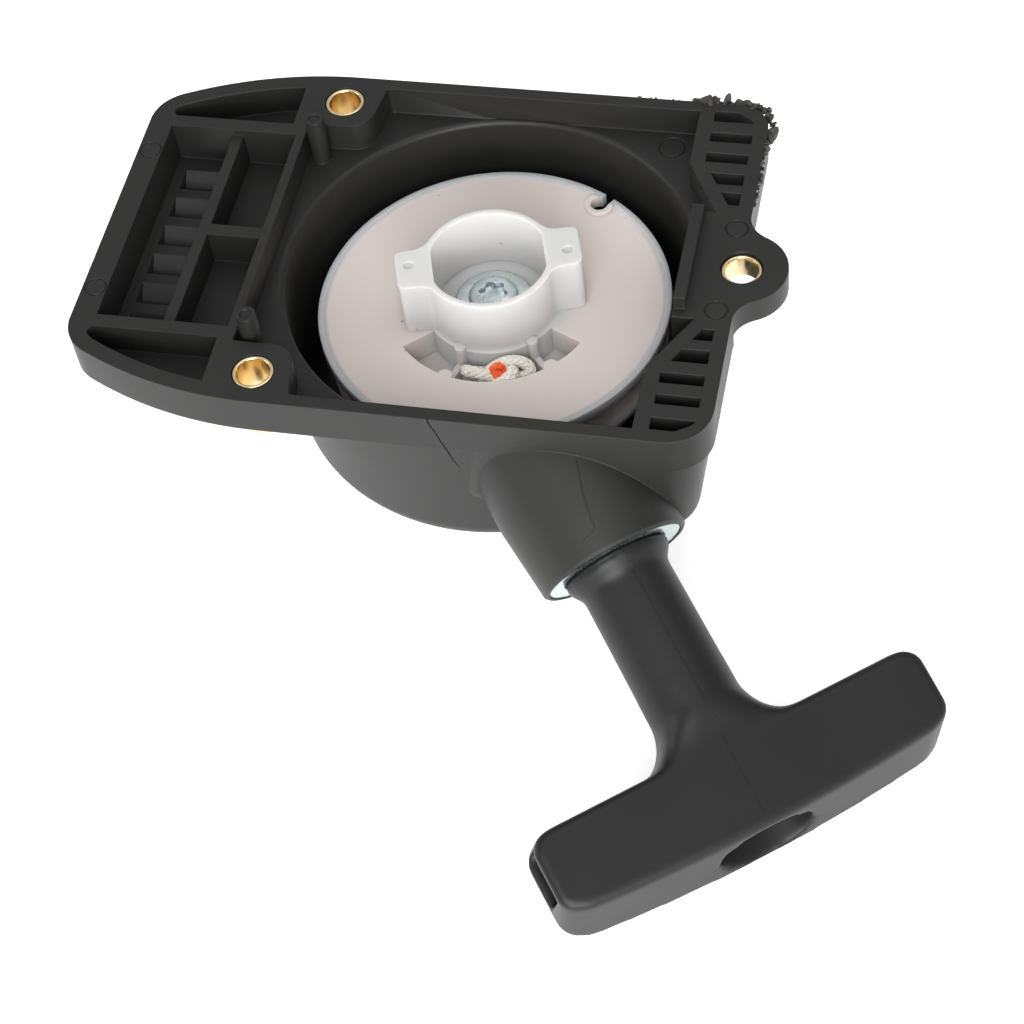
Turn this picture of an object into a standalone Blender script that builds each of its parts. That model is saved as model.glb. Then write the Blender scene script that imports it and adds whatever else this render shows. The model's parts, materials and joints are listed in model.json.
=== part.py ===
"""Recoil starter for a small engine, built as separate pieces.

Axes: the rotor turns about Z, the mating face lies at z = 0 and faces +Z, the
front wall with the cord tube faces -Y and the air-intake box is on the -X side.
Sizes are written in millimetres and scaled to metres where meshes are made.
"""
import math

import bmesh
import bpy
from mathutils import Matrix, Vector

MM = 0.001

# ---------------------------------------------------------------- driving sizes
fit = 0.3                     # clearance left between neighbouring pieces
press = 0.15                  # clearance left round pressed-in pieces

half_y = 43.2                 # mating face: rotor axis to front and rear edges, and bowl radius
left_reach = 32.8             # how far the left edge stands beyond the bowl
right_reach = 6.0             # ... and the right edge
wall = 2.6                    # side wall thickness
rim = 5.0                     # width of the flat strip along the left edge
tray_depth = 8.5              # outer depth of the shallow tray
tray_floor = 2.0
dome_depth = 40.0             # outer depth of the round bowl
bowl_draft = 1.5              # how much the bowl narrows before its rounded edge
bowl_round = 6.0
corner_depth = 31.0           # outer depth of the square corner beside the cord tube
corner_draft = 6.5            # how far its end wall leans in, degrees
vent_depth = 12.0

bolt_inset = (6.2, 7.2)       # the two left bolts, measured in from the bowl's square
bush_r = 3.95
boss_wall = 2.65              # plastic left round a bushing
bush_bore = 3.2
bush_len = 13.9
ear_r = 8.8
ear_thick = 5.5
pin_r = 1.9
pin_rise = 4.5

cell_out = (15.0, 12.8, 1.5, -0.4)  # faces of the intake box's two long ribs beyond the bowl
cell_half_y = 25.7
cell_depth = 9.0
louvre_pitch = 7.8
louvre_gap = 5.2
panel_t = 4.2                 # thickness of the slotted panel under the intake box

rotor_gap = 5.6               # between the rotor's rim and the bowl wall
rotor_top = -15.2             # top of the raised lip
lip_rise = 0.7
plate_t = 2.0
rope_r = 1.6
turn_gap = 0.3                # between neighbouring turns
rope_depth = 11.0             # rim of the rotor to the centre line of the innermost turns
hub_r = 13.0
hub_bore = 11.6
hub_top = -3.25
post_r = 6.0
cassette_inset = 3.2          # rim of the rotor to rim of the spring cassette

knot_angle = -76.4

pull_yaw = -51.0              # direction the cord leaves, measured from +X
pull_fall = 22.0              # and how far it drops away from the mating face
mouth_side = 32.4             # centre of the cord tube mouth: to the right of the rotor axis
mouth_out = 7.4               # ... in front of the front wall
mouth_low = 27.9              # ... below the mating face
tube_wall = 1.2
throat_depth = 12.0           # from the mouth back to the rope guide throat
guide_r = 13.7
guide_bore = 10.5

bar_len = 80.4
bar_depth = 21.5
bar_thick = 15.0
bar_start = 39.0              # from the mouth to the near side of the crossbar
bar_swell = 2.4               # how far the outer face bulges
bar_fillet = 8.0              # between stem and crossbar
stem_r = 8.75

# ---------------------------------------------------------------- derived sizes
left_x = half_y + left_reach
right_x = half_y + right_reach
bolt_left = half_y - bolt_inset[0]
bolt_half = half_y - bolt_inset[1]
cell_x = tuple(half_y + out for out in cell_out)
rotor_r = half_y - wall - rotor_gap
rope_pitch = 2.0 * rope_r + turn_gap
rope_first_r = rotor_r - rope_depth
cassette_r = rotor_r - cassette_inset
mouth = Vector((mouth_side, -half_y - mouth_out, -mouth_low))
tube_r = guide_r + tube_wall
way_r = rope_r + 0.5           # bore of the handle
pocket_r = rope_first_r - 3.4  # outer edge of the kidney pockets
plate_top = rotor_top - lip_rise
deck_up = plate_top - plate_t - 0.4 - rope_r
deck_low = deck_up - rope_pitch
lower_flange_top = deck_low - rope_r - 0.3
lower_flange_low = lower_flange_top - 1.8
bowl_floor = -dome_depth + 2.4
core_r = rope_first_r - rope_r - fit
outer_turn_r = rope_first_r + 2.0 * rope_pitch
washer_low = plate_top - 0.5
post_top = washer_low - fit
cup_floor = post_top - 0.1

bolt_x = -bolt_left
bolt_y = bolt_half
pin_xy = (bolt_x - 3.3, bolt_y - 9.9)

yaw = math.radians(pull_yaw)
fall = math.radians(pull_fall)
pull = Vector((math.cos(yaw) * math.cos(fall), math.sin(yaw) * math.cos(fall), -math.sin(fall)))
across = Vector((-math.sin(yaw), math.cos(yaw), 0.0))
upward = pull.cross(across)
throat = mouth - pull * throat_depth

# the cord leaves the outermost turn along a tangent that meets the guide throat
span = math.hypot(throat.x, throat.y)
leave_angle = math.degrees(math.atan2(throat.y, throat.x) - math.acos(outer_turn_r / span))
leave_point = Vector((outer_turn_r * math.cos(math.radians(leave_angle)),
                      outer_turn_r * math.sin(math.radians(leave_angle)), deck_low))
lead_line = (throat - leave_point).normalized()


# ---------------------------------------------------------------- scene set-up
for old in list(bpy.data.objects):
    bpy.data.objects.remove(old, do_unlink=True)

parts = bpy.data.collections.new("recoil_starter")
bpy.context.scene.collection.children.link(parts)


def tool_group(name):
    """A hidden collection that holds the solids one Boolean step works with."""
    group = bpy.data.collections.new(name)
    bpy.context.scene.collection.children.link(group)
    return group


def place(name, mesh, group):
    obj = bpy.data.objects.new(name, mesh)
    group.objects.link(obj)
    if group is not parts:
        obj.hide_render = True
        obj.display_type = "WIRE"
    return obj


def prism(name, outline, top, bottom, group, frame=None):
    """A flat outline thickened downwards."""
    mesh = bpy.data.meshes.new(name)
    mesh.from_pydata([(x * MM, y * MM, top * MM) for x, y in outline], [], [range(len(outline))])
    if mesh.polygons[0].normal.z < 0:
        mesh.flip_normals()
    if frame:
        mesh.transform(frame)
    obj = place(name, mesh, group)
    thick = obj.modifiers.new("thickness", "SOLIDIFY")
    thick.thickness = (top - bottom) * MM
    thick.offset = -1.0
    return obj


def block(name, x0, x1, y0, y1, z0, z1, group, frame=None):
    corners = [(x0, y0), (x1, y0), (x1, y1), (x0, y1)]
    return prism(name, corners, z1, z0, group, frame)


def turned(name, profile, steps, group, frame=None, closed=False):
    """A profile of (radius, height) spun once round Z."""
    mesh = bpy.data.meshes.new(name)
    count = len(profile)
    edges = [(i, i + 1) for i in range(count - 1)]
    if closed:
        edges.append((count - 1, 0))
    mesh.from_pydata([(r * MM, 0.0, z * MM) for r, z in profile], edges, [])
    obj = place(name, mesh, group)
    if frame:
        obj.matrix_world = frame
    spin = obj.modifiers.new("spin", "SCREW")
    spin.steps = steps
    spin.render_steps = steps
    spin.use_merge_vertices = True
    spin.merge_threshold = 0.00005
    spin.use_smooth_shade = False
    return obj


def rod(name, radius, top, bottom, x, y, group, steps=32):
    frame = Matrix.Translation((x * MM, y * MM, 0.0))
    return turned(name, [(0, top), (radius, top), (radius, bottom), (0, bottom)], steps, group, frame)


def boolean(obj, operation, group):
    step = obj.modifiers.new(operation.lower(), "BOOLEAN")
    step.operation = operation
    step.solver = "EXACT"
    step.operand_type = "COLLECTION"
    step.collection = group
    return step


def material(name, colour, metallic, roughness):
    mat = bpy.data.materials.new(name)
    mat.use_nodes = True
    shader = mat.node_tree.nodes["Principled BSDF"]
    shader.inputs["Base Color"].default_value = (*colour, 1.0)
    shader.inputs["Metallic"].default_value = metallic
    shader.inputs["Roughness"].default_value = roughness
    return mat


def rounded(obj, width, segments, sharpest=60.0):
    """Round every edge sharper than the given angle."""
    soft = obj.modifiers.new("edge", "BEVEL")
    soft.width = width * MM
    soft.segments = segments
    soft.limit_method = "ANGLE"
    soft.angle_limit = math.radians(sharpest)


def finish(obj, mat):
    obj.data.materials.clear()
    obj.data.materials.append(mat)
    return obj


def arc(cx, cy, radius, start, stop, count):
    """Points along a circular arc, angles in degrees."""
    found = []
    for i in range(count + 1):
        a = math.radians(start + (stop - start) * i / count)
        found.append((cx + radius * math.cos(a), cy + radius * math.sin(a)))
    return found


def mirrored(points):
    return [(x, -y) for x, y in reversed(points)]


def pull_frame(distance):
    """Matrix whose Z runs along the pull direction, at a distance from the mouth."""
    spot = (mouth + pull * distance) * MM
    basis = Matrix((across, upward, pull)).transposed().to_4x4()
    basis.translation = spot
    return basis


black = material("glass_filled_nylon", (0.028, 0.028, 0.027), 0.0, 0.62)
brass = material("brass", (0.72, 0.50, 0.20), 1.0, 0.28)
zinc = material("zinc_plated_steel", (0.62, 0.66, 0.70), 1.0, 0.30)
white = material("natural_nylon", (0.72, 0.70, 0.67), 0.0, 0.45)
cord = material("braided_cord", (0.62, 0.58, 0.50), 0.0, 0.85)
spring_steel = material("spring_steel", (0.30, 0.31, 0.33), 1.0, 0.35)
grey_nylon = material("grey_nylon", (0.10, 0.10, 0.10), 0.0, 0.55)
rubbery = material("matte_black_plastic", (0.022, 0.022, 0.022), 0.0, 0.50)


# ---------------------------------------------------------------- housing
def side_sweep(inset):
    """Rear-left edge of the mating face: a shallow curve, then a rounded corner."""
    reach = left_x - 42.0
    drop = 7.8
    big = (reach ** 2 + drop ** 2) / (2 * drop)
    swing = math.degrees(math.asin(reach / big))
    curve = arc(-left_x + 40.0, half_y - big, big - inset, 90.0, 90.0 + swing, 6)
    ey = curve[-1][1]
    return curve + [(-left_x + inset + 1.4, ey - 2.6), (-left_x + inset, ey - 6.2)]


def tray_outline():
    rear_corner = arc(right_x - 6.5, half_y - 6.5, 6.5, 0.0, 90.0, 5)
    front_corner = arc(right_x - 8.5, -half_y + 8.5, 8.5, -90.0, 0.0, 5)
    ear_root = [(right_x, ear_r + 3.2), (right_x + 1.1, ear_r + 0.6), (right_x + 3.2, ear_r * 0.95)]
    ear_out = arc(right_x, 0.0, ear_r, -60.0, 60.0, 10)
    left_rear = side_sweep(0.0)
    return (front_corner + [(x, -y) for x, y in ear_root] + ear_out + ear_root[::-1]
            + rear_corner + left_rear + mirrored(left_rear))


def chamber_outline():
    """Opening of the chamber at the mating face."""
    inner = half_y - wall
    frame_x = right_x - 14.0
    boss_x = bolt_x + 7.2
    boss_y = bolt_y - 7.0
    rear = [(-cell_x[3], boss_y), (boss_x - 4.4, boss_y + 0.1), (boss_x - 1.0, boss_y + 2.2),
            (boss_x, boss_y + 5.8), (boss_x + 0.6, inner), (frame_x, inner), (frame_x, 26.2),
            (right_x - 6.9, 13.6), (right_x - 11.2, 13.6)]
    return rear + mirrored(rear)


def crescent():
    """Long pocket between the rear edge and the intake box."""
    start_x = bolt_x - 9.0
    low = cell_half_y + 2.9
    edge = [(x, y) for x, y in side_sweep(3.2)[:-2] if x < start_x - 0.5]
    start_y = edge[0][1] + 0.22 * (start_x - edge[0][0])
    return [(start_x, start_y)] + edge + [(edge[-1][0] - 2.8, low + 2.2), (edge[-1][0] - 3.4, low + 0.9),
                                          (edge[-1][0] - 2.2, low), (start_x, low)]


adds = tool_group("housing_outer")
profile = [(0.0, -1.0), (half_y, -1.0), (half_y, -tray_depth), (half_y - bowl_draft, -dome_depth + bowl_round)]
for i in range(1, 6):
    a = math.radians(90.0 * i / 5)
    profile.append((half_y - bowl_draft - bowl_round * (1 - math.cos(a)),
                    -dome_depth + bowl_round - bowl_round * math.sin(a)))
profile.append((0.0, -dome_depth))
turned("bowl", profile, 72, adds)

corner_hinge = Matrix.Translation((right_x * MM, -half_y * MM, -4.0 * MM))
corner_lean = corner_hinge @ Matrix.Rotation(math.radians(corner_draft), 4, "Y")
corner_out = [(-46.0, 0.02)] + arc(-9.2, 8.5, 8.5, -90.0, 0.0, 6) + [(-0.7, 31.0), (-46.0, 31.0)]
corner = prism("square_corner", corner_out, 1.5, 4.0 - corner_depth, adds, corner_lean)
rounded(corner, 5.0, 3)

turned("cord_tube", [(0, 0), (tube_r, 0), (tube_r + 1.3, -throat_depth - 3), (tube_r + 1.3, -30), (0, -30)],
       40, adds, pull_frame(0.0))
for side in (1, -1):
    rod("boss", bush_r + boss_wall, -1.0, -tray_depth - 0.5, bolt_x, side * bolt_y, adds, 32)
panel = [(-left_x + 3.0, -cell_half_y - 3.0), (bolt_x - 6.0, -cell_half_y - 3.0),
         (bolt_x - 6.0, cell_half_y + 3.0), (-left_x + 3.0, cell_half_y + 3.0)]
prism("louvre_panel", panel, -1.0, -cell_depth - panel_t, adds)

cuts = tool_group("housing_cavities")
prism("chamber_top", chamber_outline(), 20.0, -tray_depth + tray_floor, cuts)
gap = half_y - wall - 0.25
shelf = -tray_depth + tray_floor
profile = [(0.0, shelf + 0.4), (gap, shelf + 0.4), (gap - bowl_draft, -dome_depth + bowl_round)]
inner_round = bowl_round - 2.2
for i in range(1, 6):
    a = math.radians(90.0 * i / 5)
    profile.append((gap - bowl_draft - inner_round * (1 - math.cos(a)),
                    bowl_floor + inner_round - inner_round * math.sin(a)))
profile.append((0.0, bowl_floor))
turned("bowl_space", profile, 72, cuts)
block("corner_space", -45.0, -0.7 - wall, wall, 29.0, 4.0 - corner_depth + wall, 4.0 - vent_depth, cuts,
      corner_lean)
block("face_trim", -20.0, right_x + 5.0, -half_y - 3.0, -half_y + 6.0, 0.0, 8.0, cuts)
block("vent_wall_space", 4.0, right_x - 14.0, -half_y + wall, -20.0, -vent_depth - 1.0, -5.0, cuts)

for side in (1, -1):
    rod("bush_bore", bush_r + press, 5.0, -40.0, bolt_x, side * bolt_y, cuts, 32)
rod("ear_bore", bush_r + press, 5.0, -40.0, right_x, 0.0, cuts, 32)
block("under_ear", right_x - 3.0, right_x + ear_r + 2.0, -ear_r - 3.4, ear_r + 3.4, -40.0, -ear_thick, cuts)
block("vent_cell", -left_x + rim, -cell_x[0], -cell_half_y, cell_half_y, -cell_depth, 5.0, cuts)
block("rear_cell", -cell_x[1], -cell_x[2], 1.1, cell_half_y, -cell_depth, 5.0, cuts)
block("front_cell", -cell_x[1], -cell_x[2], -cell_half_y, -1.7, -cell_depth, 5.0, cuts)
block("rib_step", -cell_x[0] - 0.5, -cell_x[2] - 0.01, -cell_half_y + 0.01, cell_half_y - 0.01, -1.5, 5.0, cuts)
prism("rear_crescent", crescent(), 5.0, -tray_depth + tray_floor, cuts)
prism("front_crescent", mirrored(crescent()), 5.0, -tray_depth + tray_floor, cuts)

# louvres: six slots that lean towards the front as they go down
sideways = Matrix(((0, 0, 1, 0), (1, 0, 0, 0), (0, 1, 0, 0), (0, 0, 0, 1)))
louvre_drop = panel_t + 2.0
for i in range(6):
    y0 = (i - 2.5) * louvre_pitch - louvre_gap / 2
    leaning = [(y0, -cell_depth), (y0 + louvre_gap, -cell_depth),
               (y0 + louvre_gap - louvre_drop, -cell_depth - louvre_drop), (y0 - louvre_drop, -cell_depth - louvre_drop)]
    raised = [(y + 1.0, z + 1.0) for y, z in leaning[:2]] + leaning[2:]
    prism("louvre", raised, -cell_x[0] - 1.6, -left_x + rim + 2.2, cuts, sideways)

# air slots in the right-hand frame
slot_out = right_x - 2.8
frame_edge = right_x - 12.0
rear_slots = [(40.9, 38.0), (35.0, 32.4), (29.4, 26.8), (24.0, 21.0), (19.0, 15.7)]
front_slots = [(18.7, 15.9), (24.2, 21.1), (29.5, 27.0), (34.5, 32.2), (40.4, 37.6)]


def slot(low, high, sign):
    """One air slot; the inner end follows the slanted inner edge of the frame."""
    def inner(y):
        slant = frame_edge + (26.6 - y) * 0.56
        return max(frame_edge + 1.0, slant + 1.0)
    points = [(inner(low), low), (slot_out, low), (slot_out, high), (inner(high), high)]
    if high > half_y - 3.5:
        points = [(inner(low), low), (slot_out, low), (slot_out - 0.9, low + 1.2),
                  (slot_out - 3.6, high), (inner(high), high)]
    return points if sign > 0 else mirrored(points)


for high, low in rear_slots:
    prism("rear_slot", slot(low, high, 1), 5.0, -tray_depth - 1.0, cuts)
for high, low in front_slots:
    prism("front_slot", slot(low, high, -1), 5.0, -vent_depth - 2.0, cuts)

# bore of the cord tube
turned("cord_bore", [(0, 5.3), (guide_r + press, 5.3), (guide_r + press, -1.5), (guide_r - 1.8, -1.5),
                     (guide_r - 1.8, -22), (0, -22)], 44, cuts, pull_frame(0.0))

lead_frame = lead_line.to_track_quat("Z", "Y").to_matrix().to_4x4()
lead_frame.translation = throat * MM
turned("lead_way", [(0, 0), (rope_r + 1.0, 0), (rope_r + 1.0, -24.0), (0, -24.0)], 20, cuts, lead_frame)

late = tool_group("housing_inner")
rod("rotor_post", post_r, post_top, bowl_floor - 1.2, 0.0, 0.0, late, 32)
seat_in = cassette_r + fit + 0.1
seat_out = seat_in + 1.4
turned("cassette_seat", [(seat_out, bowl_floor + 2.6), (seat_out, bowl_floor - 1.0), (seat_in, bowl_floor - 1.0),
                         (seat_in, bowl_floor + 2.6)], 64, late, None, True)
for side in (1, -1):
    rod("locating_pin", pin_r, pin_rise, -tray_depth + 0.8, pin_xy[0], side * pin_xy[1], late, 20)
block("guard_rib", right_x - 11.2, right_x - 8.8, -11.5, 13.4, -5.0, 3.0, late)

last = tool_group("housing_holes")
rod("screw_hole", 2.8, 5.0, -30.0, 0.0, 0.0, last, 24)

housing = prism("starter_housing", tray_outline(), 0.0, -tray_depth, parts)
boolean(housing, "UNION", adds)
boolean(housing, "DIFFERENCE", cuts)
boolean(housing, "UNION", late)
boolean(housing, "DIFFERENCE", last)
finish(housing, black)


# ---------------------------------------------------------------- bushings and guide
def bushing(name, x, y, top, length):
    frame = Matrix.Translation((x * MM, y * MM, 0.0))
    ring = [(bush_r, top), (bush_r, top - length), (bush_bore, top - length), (bush_bore, top)]
    return finish(turned(name, ring, 32, parts, frame, True), brass)


bushing("bushing_rear_left", bolt_x, bolt_y, -0.1, bush_len - 0.1)
bushing("bushing_front_left", bolt_x, -bolt_y, -0.1, bush_len - 0.1)
bushing("bushing_right", right_x, 0.0, -0.7, ear_thick - 0.5)

cone = (guide_bore - 4.5) / 8.0
guide = [(guide_r, -0.15), (guide_r, -1.35), (guide_bore + 0.9, -1.35), (5.9, -10.4), (5.9, -14.0),
         (5.4, -14.5), (4.9, -14.4), (4.5, -13.6), (4.5, -9.4), (guide_bore, -1.3), (guide_bore, -0.15)]
finish(turned("rope_guide_bush", guide, 40, parts, pull_frame(0.0), True), zinc)


# ---------------------------------------------------------------- rotor
rotor_profile = [
    (hub_r, hub_top), (hub_r, plate_top), (rotor_r - 1.3, plate_top), (rotor_r - 1.1, rotor_top),
    (rotor_r, rotor_top), (rotor_r, plate_top - plate_t), (core_r, plate_top - plate_t),
    (core_r, lower_flange_top), (rotor_r - 1.0, lower_flange_top - 0.2), (rotor_r - 1.0, lower_flange_low),
    (8.6, lower_flange_low), (8.6, bowl_floor + 1.7), (post_r + fit, bowl_floor + 1.7),
    (post_r + fit, cup_floor), (hub_bore, cup_floor), (hub_bore, hub_top)]
rotor_adds = tool_group("rotor_ears")
rotor_cuts = tool_group("rotor_pockets")
ear_turn = 18.0
for side in (0, 180):
    frame = Matrix.Rotation(math.radians(ear_turn + side), 4, "Z")
    block("drive_ear", hub_r - 0.7, 17.9, -4.9, 4.9, plate_top - 0.5, hub_top, rotor_adds, frame)


def sector(name, r0, r1, a0, a1, top, low, group, count=8):
    points = arc(0, 0, r1, a0, a1, count) + arc(0, 0, r0, a1, a0, count)
    return prism(name, points, top, low, group)


pocket_low = deck_low + 1.5
sector("pocket_left", hub_r + 0.7, pocket_r, -139.0, -107.0, 0.0, pocket_low, rotor_cuts)
sector("pocket_knot", hub_r + 0.7, pocket_r, -104.0, -48.0, 0.0, pocket_low, rotor_cuts)
sector("pocket_right", hub_r + 0.7, pocket_r, -45.0, -24.0, 0.0, pocket_low, rotor_cuts)
sector("rope_exit", core_r - 3.0, core_r + 0.8, -101.0, -74.0, deck_up + 1.9, deck_up - 1.9, rotor_cuts)
sector("rim_notch", rotor_r - 5.2, rotor_r + 3.0, 56.5, 63.0, 5.0, plate_top - plate_t - 0.3, rotor_cuts, 3)
rotor = turned("rope_rotor", rotor_profile, 64, parts, None, True)
boolean(rotor, "UNION", rotor_adds)
boolean(rotor, "DIFFERENCE", rotor_cuts)
finish(rotor, white)

washer_r = 7.7
finish(turned("retaining_washer", [(washer_r, washer_low + 1.2), (washer_r, washer_low), (2.8, washer_low),
                                   (2.8, washer_low + 1.2)], 36, parts, None, True), zinc)
head_low = washer_low + 1.2 + fit
screw = turned("retaining_screw", [(0, head_low + 1.9), (4.0, head_low + 1.9), (4.9, head_low + 1.1),
                                   (4.9, head_low), (2.45, head_low), (2.45, -28.4), (1.6, -29.4),
                                   (0, -29.4)], 32, parts)
drive = tool_group("screw_drive")
star = []
for i in range(24):
    a = 2 * math.pi * i / 24
    star.append(((2.55 + 0.4 * math.cos(6 * a)) * math.cos(a), (2.55 + 0.4 * math.cos(6 * a)) * math.sin(a)))
prism("lobed_recess", star, 5.0, head_low + 0.4, drive)
boolean(screw, "DIFFERENCE", drive)
finish(screw, zinc)

# ---------------------------------------------------------------- spring pack
cassette_low = bowl_floor + fit
cassette_top = lower_flange_low - fit
lid_t = 1.0
finish(turned("spring_cassette", [
    (cassette_r, cassette_top), (cassette_r, cassette_low), (9.2, cassette_low), (9.2, cassette_low + 1.1),
    (cassette_r - 1.4, cassette_low + 1.1), (cassette_r - 1.4, cassette_top)], 48, parts, None, True), grey_nylon)
finish(turned("spring_cover", [
    (cassette_r - 1.7, cassette_top), (cassette_r - 1.7, cassette_top - lid_t), (9.6, cassette_top - lid_t),
    (9.6, cassette_top)], 48, parts, None, True), grey_nylon)

spring_low = cassette_low + 1.1 + fit
spring_high = cassette_top - lid_t - fit
spring_turns = 7
per_turn = 20
first_r = 9.4
last_r = cassette_r - 2.3
route = []
for i in range(spring_turns * per_turn + 1):
    share = i / (spring_turns * per_turn)
    r = first_r + (last_r - first_r) * share
    a = 2 * math.pi * spring_turns * share
    route.append(Vector((r * math.cos(a), r * math.sin(a), (spring_low + spring_high) / 2)) * MM)


def cord_curve(name, points, radius, sides, origin=Vector()):
    """A wire of round section along a list of points, as a welded mesh."""
    data = bpy.data.curves.new(name, "CURVE")
    data.dimensions = "3D"
    data.bevel_depth = radius * MM
    data.bevel_resolution = sides
    data.use_fill_caps = True
    line = data.splines.new("POLY")
    line.points.add(len(points) - 1)
    for spot, point in zip(points, line.points):
        point.co = (*spot, 1.0)
    return solid_from(name, data, origin)


def solid_from(name, data, origin):
    """Turn curve data into a closed mesh placed with the other parts."""
    holder = bpy.data.objects.new(name + "_curve", data)
    bpy.context.scene.collection.objects.link(holder)
    ready = holder.evaluated_get(bpy.context.evaluated_depsgraph_get())
    mesh = bpy.data.meshes.new_from_object(ready)
    bpy.data.objects.remove(holder, do_unlink=True)
    work = bmesh.new()
    work.from_mesh(mesh)
    bmesh.ops.remove_doubles(work, verts=work.verts, dist=0.00001)
    bmesh.ops.recalc_face_normals(work, faces=work.faces)
    work.to_mesh(mesh)
    work.free()
    mesh.name = name
    mesh.transform(Matrix.Translation(-origin * MM))
    obj = place(name, mesh, parts)
    obj.location = origin * MM
    return obj


strip = bpy.data.meshes.new("rewind_spring")
strip_points = []
for spot in route:
    strip_points.append((spot.x, spot.y, spring_high * MM))
for spot in route:
    strip_points.append((spot.x, spot.y, spring_low * MM))
count = len(route)
strip.from_pydata(strip_points, [], [(i, i + 1, count + i + 1, count + i) for i in range(count - 1)])
spring = place("rewind_spring", strip, parts)
gauge = spring.modifiers.new("gauge", "SOLIDIFY")
gauge.thickness = 0.6 * MM
gauge.offset = 0.0
finish(spring, spring_steel)


# ---------------------------------------------------------------- cord
def ease(u):
    u = min(1.0, max(0.0, u))
    return u * u * (3 - 2 * u)


sweep = (leave_angle - knot_angle) % 360.0 + 4 * 360.0
cells = [(0, 0), (0, 1), (1, 1), (1, 0), (2, 0), (2, 1)]     # (layer, deck) of each turn
crossing = 50.0


def wound_point(turned_by):
    """Place on the wound cord after turning so many degrees from its inner end."""
    layer, deck = cells[0]
    layer = float(layer)
    deck = float(deck)
    for n in range(1, 6):
        begin = 360.0 * n - crossing * n
        share = ease((turned_by - begin) / (crossing - 4.0))
        layer += (cells[n][0] - cells[n - 1][0]) * share
        deck += (cells[n][1] - cells[n - 1][1]) * share
    a = math.radians(knot_angle + turned_by)
    r = rope_first_r + rope_pitch * layer
    return Vector((r * math.cos(a), r * math.sin(a), deck_up - rope_pitch * deck))


pieces_per_turn = 27
count = int(pieces_per_turn * sweep / 360.0)
wound = []
for i in range(4):
    share = i / 4
    a = math.radians(knot_angle - 16.0 * (1 - share))
    r = core_r - 0.2 + (rope_first_r - core_r + 0.2) * ease(share)
    wound.append(Vector((r * math.cos(a), r * math.sin(a), deck_up)) * MM)
for i in range(count + 1):
    wound.append(wound_point(sweep * i / count) * MM)
finish(cord_curve("rope_on_rotor", wound, rope_r, 2), cord)

lead = [leave_point + lead_line * 0.5]
bend = 4.0
lead.append(throat - lead_line * bend)
for i in range(1, 6):
    u = i / 6
    bent = (throat - lead_line * bend) * (1 - u) ** 2 + throat * 2 * u * (1 - u)
    p = bent + (throat + pull * bend) * u ** 2
    lead.append(p)
lead.append(throat + pull * bend)
lead.append(mouth + pull * (bar_start + 1.9))
finish(cord_curve("rope_lead", [p * MM for p in lead], rope_r, 2, mouth), cord)


def knot(name, centre, x_dir, y_dir, scale_x, scale_y, height, radius, origin):
    """A closed three-lobed knot."""
    z_dir = x_dir.cross(y_dir)
    points = []
    for i in range(40):
        t = 2 * math.pi * i / 40
        u = (math.sin(t) + 2 * math.sin(2 * t)) * scale_x
        v = (math.cos(t) - 2 * math.cos(2 * t)) * scale_y
        w = -math.sin(3 * t) * height
        points.append((centre + x_dir * u + y_dir * v + z_dir * w) * MM)
    data = bpy.data.curves.new(name, "CURVE")
    data.dimensions = "3D"
    data.bevel_depth = radius * MM
    data.bevel_resolution = 2
    line = data.splines.new("POLY")
    line.points.add(len(points) - 1)
    for spot, point in zip(points, line.points):
        point.co = (*spot, 1.0)
    line.use_cyclic_u = True
    return finish(solid_from(name, data, origin), cord)


ka = math.radians(knot_angle)
radial = Vector((math.cos(ka), math.sin(ka), 0.0))
tangent = Vector((-math.sin(ka), math.cos(ka), 0.0))
knot("rotor_knot", radial * 16.9 + Vector((0, 0, plate_top - 2.0)), tangent, -radial, 2.25, 0.85, 1.35, 1.05, Vector())
knot("grip_knot", mouth + pull * (bar_start + 7.4), across, pull, 1.4, 1.4, 1.5, 1.1, mouth)


# ---------------------------------------------------------------- pull grip
grip_adds = tool_group("grip_solids")
grip_cuts = tool_group("grip_hollows")
half = bar_len / 2
near = bar_start
far = bar_start + bar_depth
tunnel_near = near + 1.8
tunnel_far = near + 15.2
flat = Matrix((across, pull, -upward)).transposed().to_4x4()
flat.translation = mouth * MM
end_r = 4.5
bar_side = arc(half - end_r, near + end_r, end_r, -90.0, 0.0, 5)
bar_side += arc(half - end_r, far - bar_swell - end_r, end_r, 0.0, 70.0, 4)
for i in range(9):
    share = 0.88 - 1.76 * i / 8
    bar_side.append((half * share, far - bar_swell * share * share))
bar_side += [(-x, y) for x, y in reversed(bar_side[:11])]
bar = prism("crossbar", bar_side, bar_thick / 2, -bar_thick / 2, grip_adds, flat)
rounded(bar, 3.2, 3, 50.0)


def loft(name, sections, sides, group, frame):
    """A solid through sections of (distance, half width, half height, squareness)."""
    points = []
    for distance, wide, high, square in sections:
        for k in range(sides):
            a = 2 * math.pi * k / sides
            c = math.cos(a)
            d = math.sin(a)
            points.append((wide * math.copysign(abs(c) ** (2 / square), c) * MM,
                           high * math.copysign(abs(d) ** (2 / square), d) * MM, distance * MM))
    faces = []
    for j in range(len(sections) - 1):
        for k in range(sides):
            n = (k + 1) % sides
            faces.append((j * sides + k, j * sides + n, (j + 1) * sides + n, (j + 1) * sides + k))
    faces.append(list(range(sides))[::-1])
    faces.append([(len(sections) - 1) * sides + k for k in range(sides)])
    mesh = bpy.data.meshes.new(name)
    mesh.from_pydata(points, [], faces)
    mesh.transform(frame)
    return place(name, mesh, group)


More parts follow.
